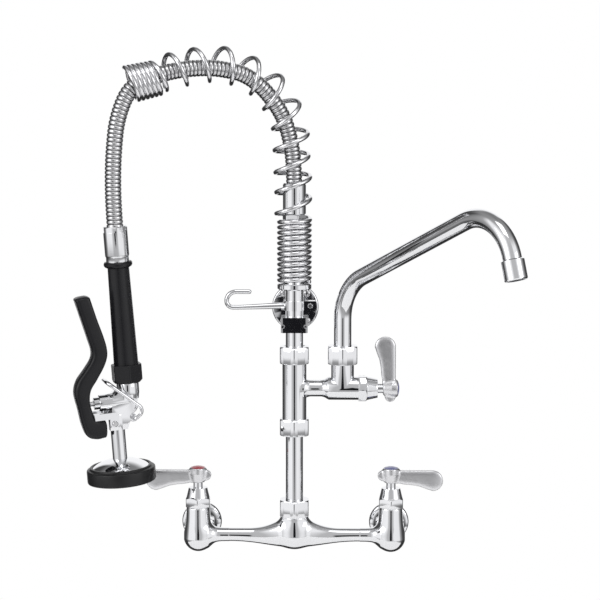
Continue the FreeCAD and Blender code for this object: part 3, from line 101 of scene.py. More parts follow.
def step_ramp(nodes, stops):
    """A ramp from black to white that is given as (position, brightness) pairs."""
    ramp = nodes.new("ShaderNodeValToRGB")
    while len(ramp.color_ramp.elements) < len(stops):
        ramp.color_ramp.elements.new(1.0)
    for element, (position, bright) in zip(ramp.color_ramp.elements, stops):
        element.position = position
        element.color = (bright, bright, bright * 1.01, 1)
    return ramp


direction = studio.new("ShaderNodeTexCoord")
axes = studio.new("ShaderNodeSeparateXYZ")
wires.new(direction.outputs["Generated"], axes.inputs[0])
flipped = studio.new("ShaderNodeMath")
flipped.operation = "MULTIPLY"
flipped.inputs[1].default_value = -1
wires.new(axes.outputs["Y"], flipped.inputs[0])
turned = studio.new("ShaderNodeMath")
turned.operation = "ARCTAN2"
wires.new(axes.outputs["X"], turned.inputs[0])
wires.new(flipped.outputs[0], turned.inputs[1])
bearing = studio.new("ShaderNodeMath")
bearing.operation = "MULTIPLY_ADD"
bearing.inputs[1].default_value = 0.5 / math.pi
bearing.inputs[2].default_value = 0.5
wires.new(turned.outputs[0], bearing.inputs[0])


def level(low, high):
    """A mask that rises from 0 to 1 as a direction climbs from one height to another."""
    climb = studio.new("ShaderNodeMapRange")
    climb.interpolation_type = "SMOOTHSTEP"
    climb.inputs["From Min"].default_value = low
    climb.inputs["From Max"].default_value = high
    wires.new(axes.outputs["Z"], climb.inputs["Value"])
    return climb.outputs["Result"]


def over(mask, below, above):
    """One part of the studio laid over another where its mask is 1."""
    mix = studio.new("ShaderNodeMix")
    mix.data_type = "RGBA"
    wires.new(mask, mix.inputs["Factor"])
    for part, name in ((below, "A"), (above, "B")):
        if isinstance(part, tuple):
            mix.inputs[name].default_value = part
        else:
            wires.new(part, mix.inputs[name])
    return mix.outputs["Result"]


def walls(*stops):
    """The studio's brightness round the object: 0 and 1 are behind it, 0.5 is the camera's side."""
    ramp = step_ramp(studio, stops)
    wires.new(bearing.outputs[0], ramp.inputs[0])
    return ramp.outputs["Color"]


near_walls = walls((0.0, 1.0), (0.07, 1.0), (0.085, 0.06), (0.19, 0.07), (0.25, 0.40), (0.275, 0.95),
                   (0.41, 1.0), (0.45, 0.52), (0.55, 0.52), (0.585, 0.95), (0.71, 0.90), (0.74, 0.40),
                   (0.81, 0.07), (0.915, 0.06), (0.93, 1.0), (1.0, 1.0))
low_walls = walls((0.0, 0.03), (0.2, 0.04), (0.32, 0.30), (0.5, 0.42), (0.68, 0.30), (0.8, 0.04), (1.0, 0.03))
high_walls = walls((0.0, 0.20), (0.25, 0.30), (0.5, 0.62), (0.75, 0.30), (1.0, 0.20))
slot_sides = walls((0.0, 0.0), (0.480, 0.0), (0.487, 1.0), (0.516, 1.0), (0.523, 0.0), (1.0, 0.0))
slot_height = studio.new("ShaderNodeMath")
slot_height.operation = "SUBTRACT"
wires.new(level(-0.26, -0.20), slot_height.inputs[0])
wires.new(level(0.10, 0.16), slot_height.inputs[1])
slot = studio.new("ShaderNodeMath")
slot.operation = "MULTIPLY"
wires.new(slot_height.outputs[0], slot.inputs[0])
wires.new(slot_sides, slot.inputs[1])
room = over(level(-0.42, -0.20), low_walls, near_walls)
room = over(level(0.55, 0.85), room, high_walls)
room = over(slot.outputs[0], room, (0.01, 0.01, 0.012, 1))
seen = studio.new("ShaderNodeLightPath")
backdrop = studio.new("ShaderNodeMix")
backdrop.data_type = "RGBA"
backdrop.inputs["B"].default_value = (1, 1, 1, 1)
wires.new(seen.outputs["Is Camera Ray"], backdrop.inputs["Factor"])
wires.new(room, backdrop.inputs["A"])
glow = studio.new("ShaderNodeBackground")
wires.new(backdrop.outputs["Result"], glow.inputs["Color"])
sky = studio.new("ShaderNodeOutputWorld")
wires.new(glow.outputs[0], sky.inputs["Surface"])

floor_mesh = bpy.data.meshes.new("floor")
floor_z = cad_low.z - 0.32
floor_mesh.from_pydata([(-0.75, -1.0, floor_z), (0.75, -1.0, floor_z), (0.75, 0.02, floor_z),
                        (-0.75, 0.02, floor_z)], [], [(0, 1, 2, 3)])
floor = bpy.data.objects.new("floor", floor_mesh)
bpy.context.collection.objects.link(floor)
floor_paint = bpy.data.materials.new("pale_floor")
floor_paint.use_nodes = True
floor_shader = floor_paint.node_tree.nodes["Principled BSDF"]
floor_shader.inputs["Base Color"].default_value = (0.93, 0.93, 0.93, 1)
floor_shader.inputs["Roughness"].default_value = 0.8
floor_shader.inputs["Emission Color"].default_value = (1, 1, 1, 1)
floor_shader.inputs["Emission Strength"].default_value = 0.32
floor_mesh.materials.append(floor_paint)


# The flexible hose: wound stainless strip, 17 mm outside, held by the riser's coupling at one
# end and by a crimped ferrule at the other. It runs inside the spring, leaves the spring's end
# and drops to the spray valve. Every turn of the strip shows as a round ridge.
def metal_surface():
    """Node group: how a plated or bare metal surface varies. A broad haze moves the colour
    between two tints, a finer one moves the roughness between two values, and thin lines
    stretched along one direction give the height of its polishing marks."""
    group = bpy.data.node_groups.new("metal_surface", "ShaderNodeTree")
    face = group.interface
    face.new_socket("Vector", in_out="INPUT", socket_type="NodeSocketVector")
    face.new_socket("Tint", in_out="INPUT", socket_type="NodeSocketColor")
    face.new_socket("Second Tint", in_out="INPUT", socket_type="NodeSocketColor")
    for name in ("Haze Scale", "Smooth", "Dull", "Line Scale"):
        face.new_socket(name, in_out="INPUT", socket_type="NodeSocketFloat")
    face.new_socket("Colour", in_out="OUTPUT", socket_type="NodeSocketColor")
    face.new_socket("Roughness", in_out="OUTPUT", socket_type="NodeSocketFloat")
    face.new_socket("Lines", in_out="OUTPUT", socket_type="NodeSocketFloat")
    nodes, links = group.nodes, group.links
    given = nodes.new("NodeGroupInput")
    made = nodes.new("NodeGroupOutput")
    haze = nodes.new("ShaderNodeTexNoise")
    haze.inputs["Detail"].default_value = 3
    links.new(given.outputs["Vector"], haze.inputs["Vector"])
    links.new(given.outputs["Haze Scale"], haze.inputs["Scale"])
    tints = nodes.new("ShaderNodeMix")
    tints.data_type = "RGBA"
    links.new(haze.outputs["Fac"], tints.inputs["Factor"])
    links.new(given.outputs["Tint"], tints.inputs["A"])
    links.new(given.outputs["Second Tint"], tints.inputs["B"])
    links.new(tints.outputs["Result"], made.inputs["Colour"])
    smears = nodes.new("ShaderNodeTexNoise")
    smears.inputs["Detail"].default_value = 5
    smears.inputs["Distortion"].default_value = 1.5
    bigger = nodes.new("ShaderNodeMath")
    bigger.operation = "MULTIPLY"
    bigger.inputs[1].default_value = 3.1
    links.new(given.outputs["Haze Scale"], bigger.inputs[0])
    links.new(given.outputs["Vector"], smears.inputs["Vector"])
    links.new(bigger.outputs[0], smears.inputs["Scale"])
    spread = nodes.new("ShaderNodeMapRange")
    spread.inputs["From Min"].default_value = 0.35
    spread.inputs["From Max"].default_value = 0.7
    links.new(smears.outputs["Fac"], spread.inputs["Value"])
    links.new(given.outputs["Smooth"], spread.inputs["To Min"])
    links.new(given.outputs["Dull"], spread.inputs["To Max"])
    links.new(spread.outputs["Result"], made.inputs["Roughness"])
    stretched = nodes.new("ShaderNodeMapping")
    stretched.inputs["Scale"].default_value = (0.04, 0.04, 1.0)
    lines = nodes.new("ShaderNodeTexNoise")
    lines.inputs["Detail"].default_value = 2
    links.new(given.outputs["Vector"], stretched.inputs["Vector"])
    links.new(stretched.outputs["Vector"], lines.inputs["Vector"])
    links.new(given.outputs["Line Scale"], lines.inputs["Scale"])
    links.new(lines.outputs["Fac"], made.inputs["Lines"])
    return group


METAL_SURFACE = metal_surface()


def metal(name, tint, second, smooth, dull, haze=38, line_scale=2600, line_depth=0.02, painted_hollow_shade=None):
    """A metal finish. Tints and roughness drift between two values each, polishing lines give a slight bump,
    and a painted shade colour darkens the hollows that a piece's ridge attribute marks."""
    material = bpy.data.materials.new(name)
    material.use_nodes = True
    nodes, links = material.node_tree.nodes, material.node_tree.links
    shader = nodes["Principled BSDF"]
    shader.inputs["Metallic"].default_value = 1.0
    where = nodes.new("ShaderNodeTexCoord")
    surface = nodes.new("ShaderNodeGroup")
    surface.node_tree = METAL_SURFACE
    surface.inputs["Tint"].default_value = (*tint, 1)
    surface.inputs["Second Tint"].default_value = (*second, 1)
    surface.inputs["Haze Scale"].default_value = haze
    surface.inputs["Smooth"].default_value = smooth
    surface.inputs["Dull"].default_value = dull
    surface.inputs["Line Scale"].default_value = line_scale
    links.new(where.outputs["Object"], surface.inputs["Vector"])
    links.new(surface.outputs["Roughness"], shader.inputs["Roughness"])
    bump = nodes.new("ShaderNodeBump")
    bump.inputs["Strength"].default_value = line_depth
    bump.inputs["Distance"].default_value = 0.0002
    links.new(surface.outputs["Lines"], bump.inputs["Height"])
    links.new(bump.outputs["Normal"], shader.inputs["Normal"])
    if painted_hollow_shade is None:
        links.new(surface.outputs["Colour"], shader.inputs["Base Color"])
        return material
    # Painted shade: where the ridge attribute falls to 0, in the hollows between ridges, the base colour goes
    # to the given near-black shade colour.
    ridge = nodes.new("ShaderNodeAttribute")
    ridge.attribute_name = "ridge"
    painted_hollow_shade_mix = nodes.new("ShaderNodeMix")
    painted_hollow_shade_mix.data_type = "RGBA"
    painted_hollow_shade_mix.inputs["A"].default_value = (*painted_hollow_shade, 1)
    links.new(ridge.outputs["Fac"], painted_hollow_shade_mix.inputs["Factor"])
    links.new(surface.outputs["Colour"], painted_hollow_shade_mix.inputs["B"])
    links.new(painted_hollow_shade_mix.outputs["Result"], shader.inputs["Base Color"])
    return material


def skin(name, grid, material, slot, body, *nodes, ridge=None, sharp=180):
    """A closed piece from a grid of points in metres. Each row goes once round the piece, the
    first and last rows may shrink to a point, and neighbouring rows are joined by four-sided
    faces. Points that fall together at a seam or pole are merged."""
    rows, around = grid.shape[:2]
    index = np.arange(rows * around).reshape(rows, around)
    beside = np.roll(index, -1, axis=1)
    faces = np.stack([index[:-1], beside[:-1], beside[1:], index[1:]], axis=-1).reshape(-1, 4)
    mesh = bpy.data.meshes.new(name)
    mesh.from_pydata(grid.reshape(-1, 3).tolist(), [], faces.tolist())
    if ridge is not None:
        mesh.attributes.new("ridge", "FLOAT", "POINT").data.foreach_set("value", ridge.ravel().astype("f"))
    work = bmesh.new()
    work.from_mesh(mesh)
    bmesh.ops.remove_doubles(work, verts=work.verts, dist=1e-7)
    if work.calc_volume(signed=True) < 0:
        bmesh.ops.reverse_faces(work, faces=work.faces)
    work.to_mesh(mesh)
    work.free()
    mesh.polygons.foreach_set("use_smooth", np.ones(len(mesh.polygons), bool))
    if sharp < 180:
        mesh.set_sharp_from_angle(angle=math.radians(sharp))
    mesh.materials.append(material)
    piece = bpy.data.objects.new(name, mesh)
    bpy.context.collection.objects.link(piece)
    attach(piece, body)
    if nodes:
        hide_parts(*nodes)
    return piece


def placed(points, matrix):
    """Points in millimetres in a part's own frame, moved to the row frame in metres."""
    turn = np.array(matrix.to_3x3())
    return (points @ turn.T + np.array(matrix.translation)) * MM


def ring_round(path, tangent, side, radius, around):
    """Circles square to a path: each point is path + radius x (cos a x side + sin a x upright),
    where upright is the tangent crossed with the side direction. The first and last circles
    are repeated at no radius, so that the ends are closed."""
    side = side - tangent * np.sum(side * tangent, axis=1, keepdims=True)
    side /= np.linalg.norm(side, axis=1, keepdims=True)
    upright = np.cross(tangent, side)
    angle = np.linspace(0, 2 * np.pi, around, endpoint=False)[None, :, None]
    radius = np.broadcast_to(radius, len(path)).astype(float)
    radius = np.concatenate([[0], radius, [0]])[:, None, None]
    path, side, upright = (np.concatenate([v[:1], v, v[-1:]])[:, None, :] for v in (path, side, upright))
    return path + radius * (np.cos(angle) * side + np.sin(angle) * upright)


def heading(path):
    """The unit direction of a path at each of its points."""
    way = np.gradient(path, axis=0)
    return way / np.linalg.norm(way, axis=1, keepdims=True)


COLUMN = Matrix.Translation((0, -60, 0))
GOOSENECK_TURN = 198
GOOSENECK = COLUMN @ Matrix.Rotation(math.radians(GOOSENECK_TURN), 4, "Z")
HOSE_LINE = [(0, 347), (0, 378.5), (2.7, 411.4), (13.5, 445.9), (44.7, 481.1), (80.9, 489.5),
             (110.7, 488.9), (137.3, 484.2), (170.4, 473.1), (185, 441.3), (189.1, 406.8),
             (190.3, 373.4), (189.36, 341.01), (187.13, 309.09)]
HOSE_RADIUS = 8.5
STRIP_PITCH = 4.1
STRIP_DEPTH = 1.5
route = placed(np.array([(u, 0, z) for u, z in HOSE_LINE]), GOOSENECK)
route_curve = bpy.data.curves.new("hose_route", "CURVE")
route_curve.dimensions = "3D"
route_curve.resolution_u = 24
spline = route_curve.splines.new("NURBS")
spline.points.add(len(route) - 1)
for point, corner in zip(spline.points, route):
    point.co = (*corner, 1)
spline.order_u = 3
spline.use_endpoint_u = True
route_piece = bpy.data.objects.new("hose_route", route_curve)
bpy.context.collection.objects.link(route_piece)
bpy.context.view_layer.update()
route_mesh = bpy.data.meshes.new_from_object(route_piece)
hose_line = np.zeros(3 * len(route_mesh.vertices))
route_mesh.vertices.foreach_get("co", hose_line)
hose_line = hose_line.reshape(-1, 3)
bpy.data.objects.remove(route_piece)

run = np.concatenate([[0], np.cumsum(np.linalg.norm(np.diff(hose_line, axis=0), axis=1))])
ridges = round(run[-1] / MM / STRIP_PITCH)
across = (1 - np.cos(np.linspace(0, np.pi, 9)[:-1])) / 2
share = np.append((np.arange(ridges)[:, None] + across).ravel(), ridges) / ridges
crown = np.append(np.tile(np.sqrt(np.clip(1 - (2 * across - 1) ** 4, 0, 1)), ridges), 0)
hose_path = np.stack([np.interp(share * run[-1], run, hose_line[:, k]) for k in range(3)], axis=1)
sideways = np.array(GOOSENECK.to_3x3() @ Vector((0, 1, 0)))
hose_grid = ring_round(hose_path, heading(hose_path), np.broadcast_to(sideways, hose_path.shape),
                       (HOSE_RADIUS - STRIP_DEPTH * (1 - crown)) * MM, 36)
# The hollows between the strip's turns get a painted shade, nearly black, through the ridge attribute.
HOSE_STEEL = metal("wound_stainless_strip", (0.74, 0.74, 0.75), (0.62, 0.62, 0.63), 0.13, 0.26,
                   haze=60, line_scale=5200, line_depth=0.05, painted_hollow_shade=(0.05, 0.05, 0.055))
hose = skin("spray_hose_strip", hose_grid, HOSE_STEEL, "hose_steel", "gooseneck", "spray_hose",
            ridge=np.repeat(np.concatenate([[0], crown, [0]])[:, None], 36, axis=1))


# The overhead spring: one length of plated steel wire. Its lower turns lie almost closed round
# the riser, the next ones open out and carry the hose over in an arch, and the last ones close
# again round the hose. The wire swings between two guide lines in the gooseneck's plane.
def rail(points, where):
    """A smooth line through points numbered 0, 1, 2...: between two of them it is the cubic
    that leaves each in the direction of its neighbours. Where gives places along it."""
    points = np.asarray(points, float)
    slope = np.gradient(points, axis=0)
    at = np.clip(where, 0, len(points) - 1 - 1e-9)
    start = at.astype(int)
    t = (at - start)[:, None]
    here, there, out, into = points[start], points[start + 1], slope[start], slope[start + 1]
    return ((2 * t ** 3 - 3 * t ** 2 + 1) * here + (t ** 3 - 2 * t ** 2 + t) * out +
            (3 * t ** 2 - 2 * t ** 3) * there + (t ** 3 - t ** 2) * into)


WIRE_RADIUS = 2.4
COIL_RADIUS = 16.1
CLOSED_PITCH = 5.49
CLOSED_TURNS = 12
CLOSED_TOP = 334.2
OUTER_OPEN = [(-16.5, 334.2), (-16.5, 356.7), (-16.4, 378.7), (-14.6, 400.8), (-13.6, 423.8), (-3.9, 455),
              (15.2, 481.4), (42.7, 499.4), (73.6, 509.3), (106.1, 508.1), (131.9, 502.8)]
INNER_OPEN = [(19.2, 340.6), (19.2, 362.7), (20.1, 383.1), (21, 405.9), (22.9, 427.8), (32.5, 447.8),
              (46.6, 463.3), (67.3, 473.3), (89.7, 476.1), (112.9, 472.5), (134.1, 467.2)]
END_TURNS = 7
outer_closed = [(-COIL_RADIUS, CLOSED_TOP - CLOSED_PITCH * k) for k in range(CLOSED_TURNS, 0, -1)]
inner_closed = [(COIL_RADIUS, CLOSED_TOP - CLOSED_PITCH * (k - 0.5)) for k in range(CLOSED_TURNS, 0, -1)]
outer_end = [(151 + 4.4 * k, 494.6 - 0.8 * k) for k in range(END_TURNS)]
inner_end = [(140.5 + 4.5 * k, 463.3 - 1.15 * k) for k in range(END_TURNS)]
outer_rail = outer_closed + OUTER_OPEN + outer_end
inner_rail = inner_closed + INNER_OPEN + inner_end
turns = np.linspace(0, len(outer_rail) - 1, 48 * (len(outer_rail) - 1) + 1)
outer_line = rail(outer_rail, turns)
inner_line = rail(inner_rail, turns - 0.5)
middle = (outer_line + inner_line) / 2
swing = (outer_line - inner_line) / 2 * np.cos(2 * np.pi * turns)[:, None]
wire = np.stack([middle[:, 0] + swing[:, 0], -COIL_RADIUS * np.sin(2 * np.pi * turns),
                 middle[:, 1] + swing[:, 1]], axis=1)
outwards = wire - np.stack([middle[:, 0], np.zeros(len(wire)), middle[:, 1]], axis=1)
spring_grid = placed(ring_round(wire, heading(wire), outwards, WIRE_RADIUS, 14), GOOSENECK)
SPRING_WIRE = metal("plated_spring_wire", (0.84, 0.84, 0.85), (0.76, 0.76, 0.78), 0.05, 0.14,
                    haze=50, line_scale=3000, line_depth=0.03)
skin("overhead_spring_coil", spring_grid, SPRING_WIRE, "spring_wire", "gooseneck", "overhead_spring")


# The column: two drawn brass pipes, chromed, and the union nuts that hold them in the body and
# in the tee. The nuts are turned from hexagon bar, and fibre rings seal the joints inside them.
def keep(material, *names, eased=0.0, angle=30):
    """CAD pieces whose shape is right: their loose faces are joined, their sharp edges stay
    sharp or are eased by a small bevel, and they get a finish."""
    for name in names:
        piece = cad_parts[name]
        piece.data.materials.clear()
        piece.data.materials.append(material)
        piece.data.polygons.foreach_set("use_smooth", np.ones(len(piece.data.polygons), bool))
        piece.modifiers.new("joined", "WELD").merge_threshold = 2e-6
        if eased:
            edge = piece.modifiers.new("eased_edges", "BEVEL")
            edge.width = eased
            edge.segments = 2
            edge.limit_method = "ANGLE"
            edge.angle_limit = math.radians(angle)
            edge.use_clamp_overlap = True
        split = piece.modifiers.new("sharp_edges", "EDGE_SPLIT")
        split.split_angle = math.radians(angle)


TUBE_CHROME = metal("chrome_on_drawn_tube", (0.90, 0.905, 0.92), (0.86, 0.865, 0.88), 0.03, 0.07)
NUT_CHROME = metal("chrome_on_machined_brass", (0.88, 0.885, 0.90), (0.83, 0.835, 0.85), 0.04, 0.09,
                   line_scale=4200, line_depth=0.05)
FIBRE = metal("pressed_fibre", (0.30, 0.20, 0.14), (0.38, 0.27, 0.19), 0.7, 0.9, haze=400, line_depth=0.2)
FIBRE.node_tree.nodes["Principled BSDF"].inputs["Metallic"].default_value = 0
keep(TUBE_CHROME, "riser_pipe", "upper_riser")
keep(NUT_CHROME, "riser_nuts", eased=0.0006)
keep(FIBRE, "riser_seals")


# The mixing body: one brass casting, polished and chromed. Two valve chambers stand at its
# ends, a slim cross tube sags between them, broad webs rise to the boss under the column, and
# a shank goes back from each chamber to the wall. All of it flows together in soft fillets.
def smooth_union(a, b, k):
    """The smaller of two distances, rounded off where they are within k of each other."""
    h = np.clip(0.5 + 0.5 * (b - a) / k, 0, 1)
    return b * (1 - h) + a * h - k * h * (1 - h)


def smooth_cut(a, b, k):
    """The larger of two distances, rounded off in the same way."""
    return -smooth_union(-a, -b, k)


HALVINGS = 26


def casting(field, stations, core, reach, around, squeeze=0.0):
    """The skin of a casting. Rays go out in a full circle, square to a core line along X, and
    each ends where the field turns from negative, inside, to positive; halving finds that
    place. The ray that starts at station x is at (x, y = r cos a, z = core + r sin a)."""
    angle = np.linspace(0, 2 * np.pi, around, endpoint=False)
    angle = angle + squeeze * np.sin(2 * angle)
    x = stations[:, None] + 0 * angle[None, :]
    inside = np.zeros_like(x)
    outside = np.full_like(x, reach)
    for halving in range(HALVINGS):
        r = (inside + outside) / 2
        solid = field(x, r * np.cos(angle), core[:, None] + r * np.sin(angle)) < 0
        inside = np.where(solid, r, inside)
        outside = np.where(solid, outside, r)
    r = (inside + outside) / 2
    r[0] = r[-1] = 0
    return np.stack([x, r * np.cos(angle), core[:, None] + r * np.sin(angle)], axis=-1)


VALVE_X = 101.6
TUBE_RADIUS = 7
CHAMBER_RADIUS = 15
CHAMBER_LOW = 2.9
CHAMBER_TOP = 30.8
SHANK_END = 32.5
BOSS_RADIUS = 13.5
BOSS_TOP = 20.5


def body_field(x, y, z):
    """Distance to the mixing body, near enough, in mm from the middle of its cross tube."""
    away = np.abs(x)
    rise = np.clip((49 - away) / 36, 0, 1)
    sag = 0.5 + 0.5 * np.cos(np.pi * np.clip(away / 72, 0, 1))
    top = TUBE_RADIUS + 10.5 * rise ** 2.1
    bottom = -TUBE_RADIUS - 6.5 * sag ** 1.3
    depth = TUBE_RADIUS + 4.5 * rise ** 1.8
    half = (top - bottom) / 2
    arm = (np.hypot((z - (top + bottom) / 2) / half, y / depth) - 1) * np.minimum(half, depth)
    arm = np.maximum(arm, away - VALVE_X)
    bell = np.hypot(y, z) - 6.2 - 6.1 * np.clip((away - 73) / 17.6, 0, 1) ** 2
    bell = np.maximum(bell, np.abs(away - 86) - 15.6)
    out = np.hypot(away - VALVE_X, y)
    wall = np.interp(z, [-CHAMBER_LOW, 16, CHAMBER_TOP], [CHAMBER_RADIUS, 13, 12.3])
    bowl = np.hypot(out, z + CHAMBER_LOW)
    chamber = np.where(z < -CHAMBER_LOW, bowl, out + CHAMBER_RADIUS - wall) - CHAMBER_RADIUS
    chamber = smooth_cut(chamber, z - CHAMBER_TOP, 0.6)
    shank = np.hypot(away - VALVE_X, z) - np.interp(y, [0, 16, 21, 33], [13.2, 13, 12, 12])
    shank = np.maximum(np.maximum(shank, y - SHANK_END), -y)
    centre = np.hypot(x, y)
    waist = centre + 0.5 * np.sin(np.clip(z / BOSS_TOP, 0, 1) * np.pi)
    boss = np.where(z < 0, np.hypot(centre, z), waist) - BOSS_RADIUS
    boss = smooth_cut(boss, z - BOSS_TOP, 0.6)
    skin_field = smooth_union(arm, bell, 2.2)
    skin_field = smooth_union(skin_field, smooth_union(chamber, shank, 5), 5)
    return smooth_union(skin_field, boss, 7)


CAST_CHROME = metal("chrome_on_cast_brass", (0.89, 0.895, 0.91), (0.84, 0.845, 0.86), 0.03, 0.08, haze=26,
                    line_depth=0.015)
round_end = CHAMBER_RADIUS * (1 - np.cos(np.linspace(0, np.pi / 2, 40)))[:-1]
body_end = VALVE_X + CHAMBER_RADIUS
stations = np.concatenate([-body_end + round_end, np.linspace(-VALVE_X, VALVE_X, 420),
                           body_end - round_end[::-1]])
body_core = -1.5 * np.clip((np.abs(stations) - VALVE_X) / CHAMBER_RADIUS, 0, 1)
body_grid = placed(casting(body_field, stations, body_core, 60, 190), COLUMN)
skin("mixing_body_casting", body_grid, CAST_CHROME, "cast_chrome", "frame", "mixing_body")

# The inlets: a turned bell with a flange against the wall on each side, and the union nut that
# pulls it to the body's shank over a fibre washer. Brass, chromed.
keep(CAST_CHROME, "inlet_hot", "inlet_cold")
keep(NUT_CHROME, "union_nuts", eased=0.0005)
keep(FIBRE, "union_washers")

# The valves: chromed hexagon bonnets screwed in the chambers. Inside each are a chromed brass
# stem, two lapped ceramic discs and a rubber seat seal.
BRASS = metal("bare_brass", (0.72, 0.52, 0.24), (0.60, 0.42, 0.19), 0.18, 0.34,
              line_scale=4200, line_depth=0.1)
STEEL = metal("turned_stainless", (0.66, 0.66, 0.67), (0.55, 0.55, 0.56), 0.12, 0.25, line_scale=4200,
              line_depth=0.08)
keep(NUT_CHROME, "bonnet_hot", "bonnet_cold", "bonnet_spout", eased=0.0004)
keep(NUT_CHROME, "stem_hot", "stem_cold", "stem_spout")


def moulding(name, tint, second, smooth, dull, grain, depth, coat=0.0, specular=0.5):
    """A moulded, pressed or fired material: two close tints in soft clouds, a fine grain that
    roughens it, and the same grain as a slight bump."""
    material = bpy.data.materials.new(name)
    material.use_nodes = True
    nodes, links = material.node_tree.nodes, material.node_tree.links
    shader = nodes["Principled BSDF"]
    shader.inputs["Coat Weight"].default_value = coat
    shader.inputs["Coat Roughness"].default_value = 0.2
    shader.inputs["Specular IOR Level"].default_value = specular
    where = nodes.new("ShaderNodeTexCoord")
    surface = nodes.new("ShaderNodeGroup")
    surface.node_tree = METAL_SURFACE
    surface.inputs["Tint"].default_value = (*tint, 1)
    surface.inputs["Second Tint"].default_value = (*second, 1)
    surface.inputs["Haze Scale"].default_value = 45
    surface.inputs["Smooth"].default_value = smooth
    surface.inputs["Dull"].default_value = dull
    surface.inputs["Line Scale"].default_value = grain
    links.new(where.outputs["Object"], surface.inputs["Vector"])
    links.new(surface.outputs["Colour"], shader.inputs["Base Color"])
    links.new(surface.outputs["Roughness"], shader.inputs["Roughness"])
    pebbles = nodes.new("ShaderNodeTexNoise")
    pebbles.inputs["Scale"].default_value = grain
    pebbles.inputs["Detail"].default_value = 3
    links.new(where.outputs["Object"], pebbles.inputs["Vector"])
    bump = nodes.new("ShaderNodeBump")
    bump.inputs["Strength"].default_value = depth
    bump.inputs["Distance"].default_value = 0.0002
    links.new(pebbles.outputs["Fac"], bump.inputs["Height"])
    links.new(bump.outputs["Normal"], shader.inputs["Normal"])
    return material


CERAMIC = moulding("lapped_ceramic", (0.86, 0.86, 0.84), (0.80, 0.80, 0.77), 0.10, 0.2, 900, 0.03)
SEAL_RUBBER = moulding("seal_rubber", (0.03, 0.03, 0.03), (0.05, 0.05, 0.05), 0.5, 0.7, 1500, 0.2)
keep(CERAMIC, "fixed_discs", "turning_disc_hot", "turning_disc_cold", "turning_disc_spout")
keep(SEAL_RUBBER, "seat_seals", "spout_o_rings")

# The lever handles: die-cast zinc, brightly plated, with a slightly satin face. A round hub
# sits on the stem's square, and a flat paddle widens from it to a rounded tip.
HANDLE_LOW = 56.6
HANDLE_TOP = 71.9


def handle_field(x, y, z):
    """Distance to a handle, in mm in its valve's frame: the paddle runs along X, the stem is Z."""
    tip = np.sqrt(np.clip(1 - np.clip((x - 43.6) / 11, 0, 1) ** 2, 0, 1))
    tail = np.sqrt(np.clip(1 - np.clip((-8.5 - x) / 5.5, 0, 1) ** 2, 0, 1))
    low = np.interp(x, [-14, 0, 8, 14, 22, 30, 38, 44, 55],
                    [58.6, 57.6, 55.9, 54.6, 54.0, 52.6, 49.6, 47.7, 47.6])
    middle = (low + 69.6) / 2
    half = (69.6 - low) / 2 * np.maximum(tip, 1e-3) * np.maximum(tail, 1e-3)
    thick = np.interp(x, [-14, -5, 8, 30, 54.6], [3.1, 3.5, 3.4, 3.2, 2.9]) * np.maximum(tip, 1e-3) ** 0.4
    face = (np.abs((z - middle) / half) ** 4 + np.abs(y / thick) ** 4) ** 0.25
    paddle = (face - 1) * np.minimum(half, thick)
    hub = np.hypot(x, y) - np.interp(z, [56.6, 65.6, 72], [6.25, 8.35, 8.35])
    hub = smooth_cut(smooth_cut(hub, z - HANDLE_TOP, 1.4), HANDLE_LOW - z, 0.8)
    return smooth_union(paddle, hub, 2.5)


HANDLE_CHROME = metal("bright_plate_on_zinc", (0.80, 0.80, 0.815), (0.77, 0.77, 0.785), 0.28, 0.32, haze=30,
                      line_scale=1500, line_depth=0.01)
INDEX_RED = moulding("red_index", (0.50, 0.04, 0.06), (0.42, 0.03, 0.05), 0.12, 0.25, 700, 0.04, coat=0.4)
INDEX_BLUE = moulding("blue_index", (0.20, 0.21, 0.42), (0.16, 0.17, 0.36), 0.12, 0.25, 700, 0.04, coat=0.4)
stations = np.concatenate([[-14], np.linspace(-13.99, -8, 30), np.linspace(-7.6, 42, 100),
                           np.linspace(42.3, 54.59, 60), [54.6]])
handle_core = np.interp(stations, [-14, 0, 25, 54.6], [64.1, 63.5, 62, 58.6])
handle_grid = casting(handle_field, stations, handle_core, 30, 120, squeeze=-0.2)
half_turn = Matrix.Rotation(math.pi, 4, "Z")
hot_place = COLUMN @ Matrix.Translation((-VALVE_X, 0, 0)) @ half_turn
cold_place = COLUMN @ Matrix.Translation((VALVE_X, 0, 0))
spout_place = COLUMN @ Matrix.Translation((36.2, 0, 156.9)) @ Matrix.Rotation(math.pi / 2, 4, "Y") @ half_turn
VALVES = (("hot", hot_place, INDEX_RED), ("cold", cold_place, INDEX_BLUE), ("spout", spout_place, INDEX_BLUE))
for name, matrix, colour in VALVES:
    skin("lever_handle_" + name, placed(handle_grid, matrix), HANDLE_CHROME, "handle_chrome",
         name + "_valve", "handle_" + name)
    keep(STEEL, "handle_screw_" + name)
    keep(colour, "index_" + name)

# The tee and the swing spout: a cast tee with the spout's valve on its branch, and one bent
# chromed tube that turns in it on two rubber rings, under a nut. An aerator closes its tip.
INSERT = moulding("aerator_plastic", (0.20, 0.205, 0.22), (0.16, 0.165, 0.18), 0.35, 0.5, 900, 0.1)
keep(CAST_CHROME, "tee_body")
keep(NUT_CHROME, "spout_nut", eased=0.0005)
keep(TUBE_CHROME, "spout_tube", "aerator_shell")
keep(INSERT, "aerator_insert")

# The wall bracket: a pressed disc on four screws with a rod welded on, and a clamp in two
# halves round the upper riser. Its plates are flat and mirror-bright.
PLATE_CHROME = metal("chrome_on_flat_plate", (0.86, 0.865, 0.88), (0.82, 0.825, 0.84), 0.04, 0.09, haze=20,
                     line_depth=0.01)
keep(PLATE_CHROME, "wall_disc", "clamp_back", "clamp_front")
keep(STEEL, "wall_screws", "clamp_screws", "hook_screw")

# The finger hook: a cast split ring clamped on the riser, with an arm that bends up and back.
keep(CAST_CHROME, "finger_hook")

# The gooseneck's fittings: a collar under the spring, the hexagon coupling on the riser's end
# and the ferrule crimped on the hose's lower end. All are turned brass, chromed.
keep(NUT_CHROME, "spring_collar", "hose_coupling", "hose_ferrule")

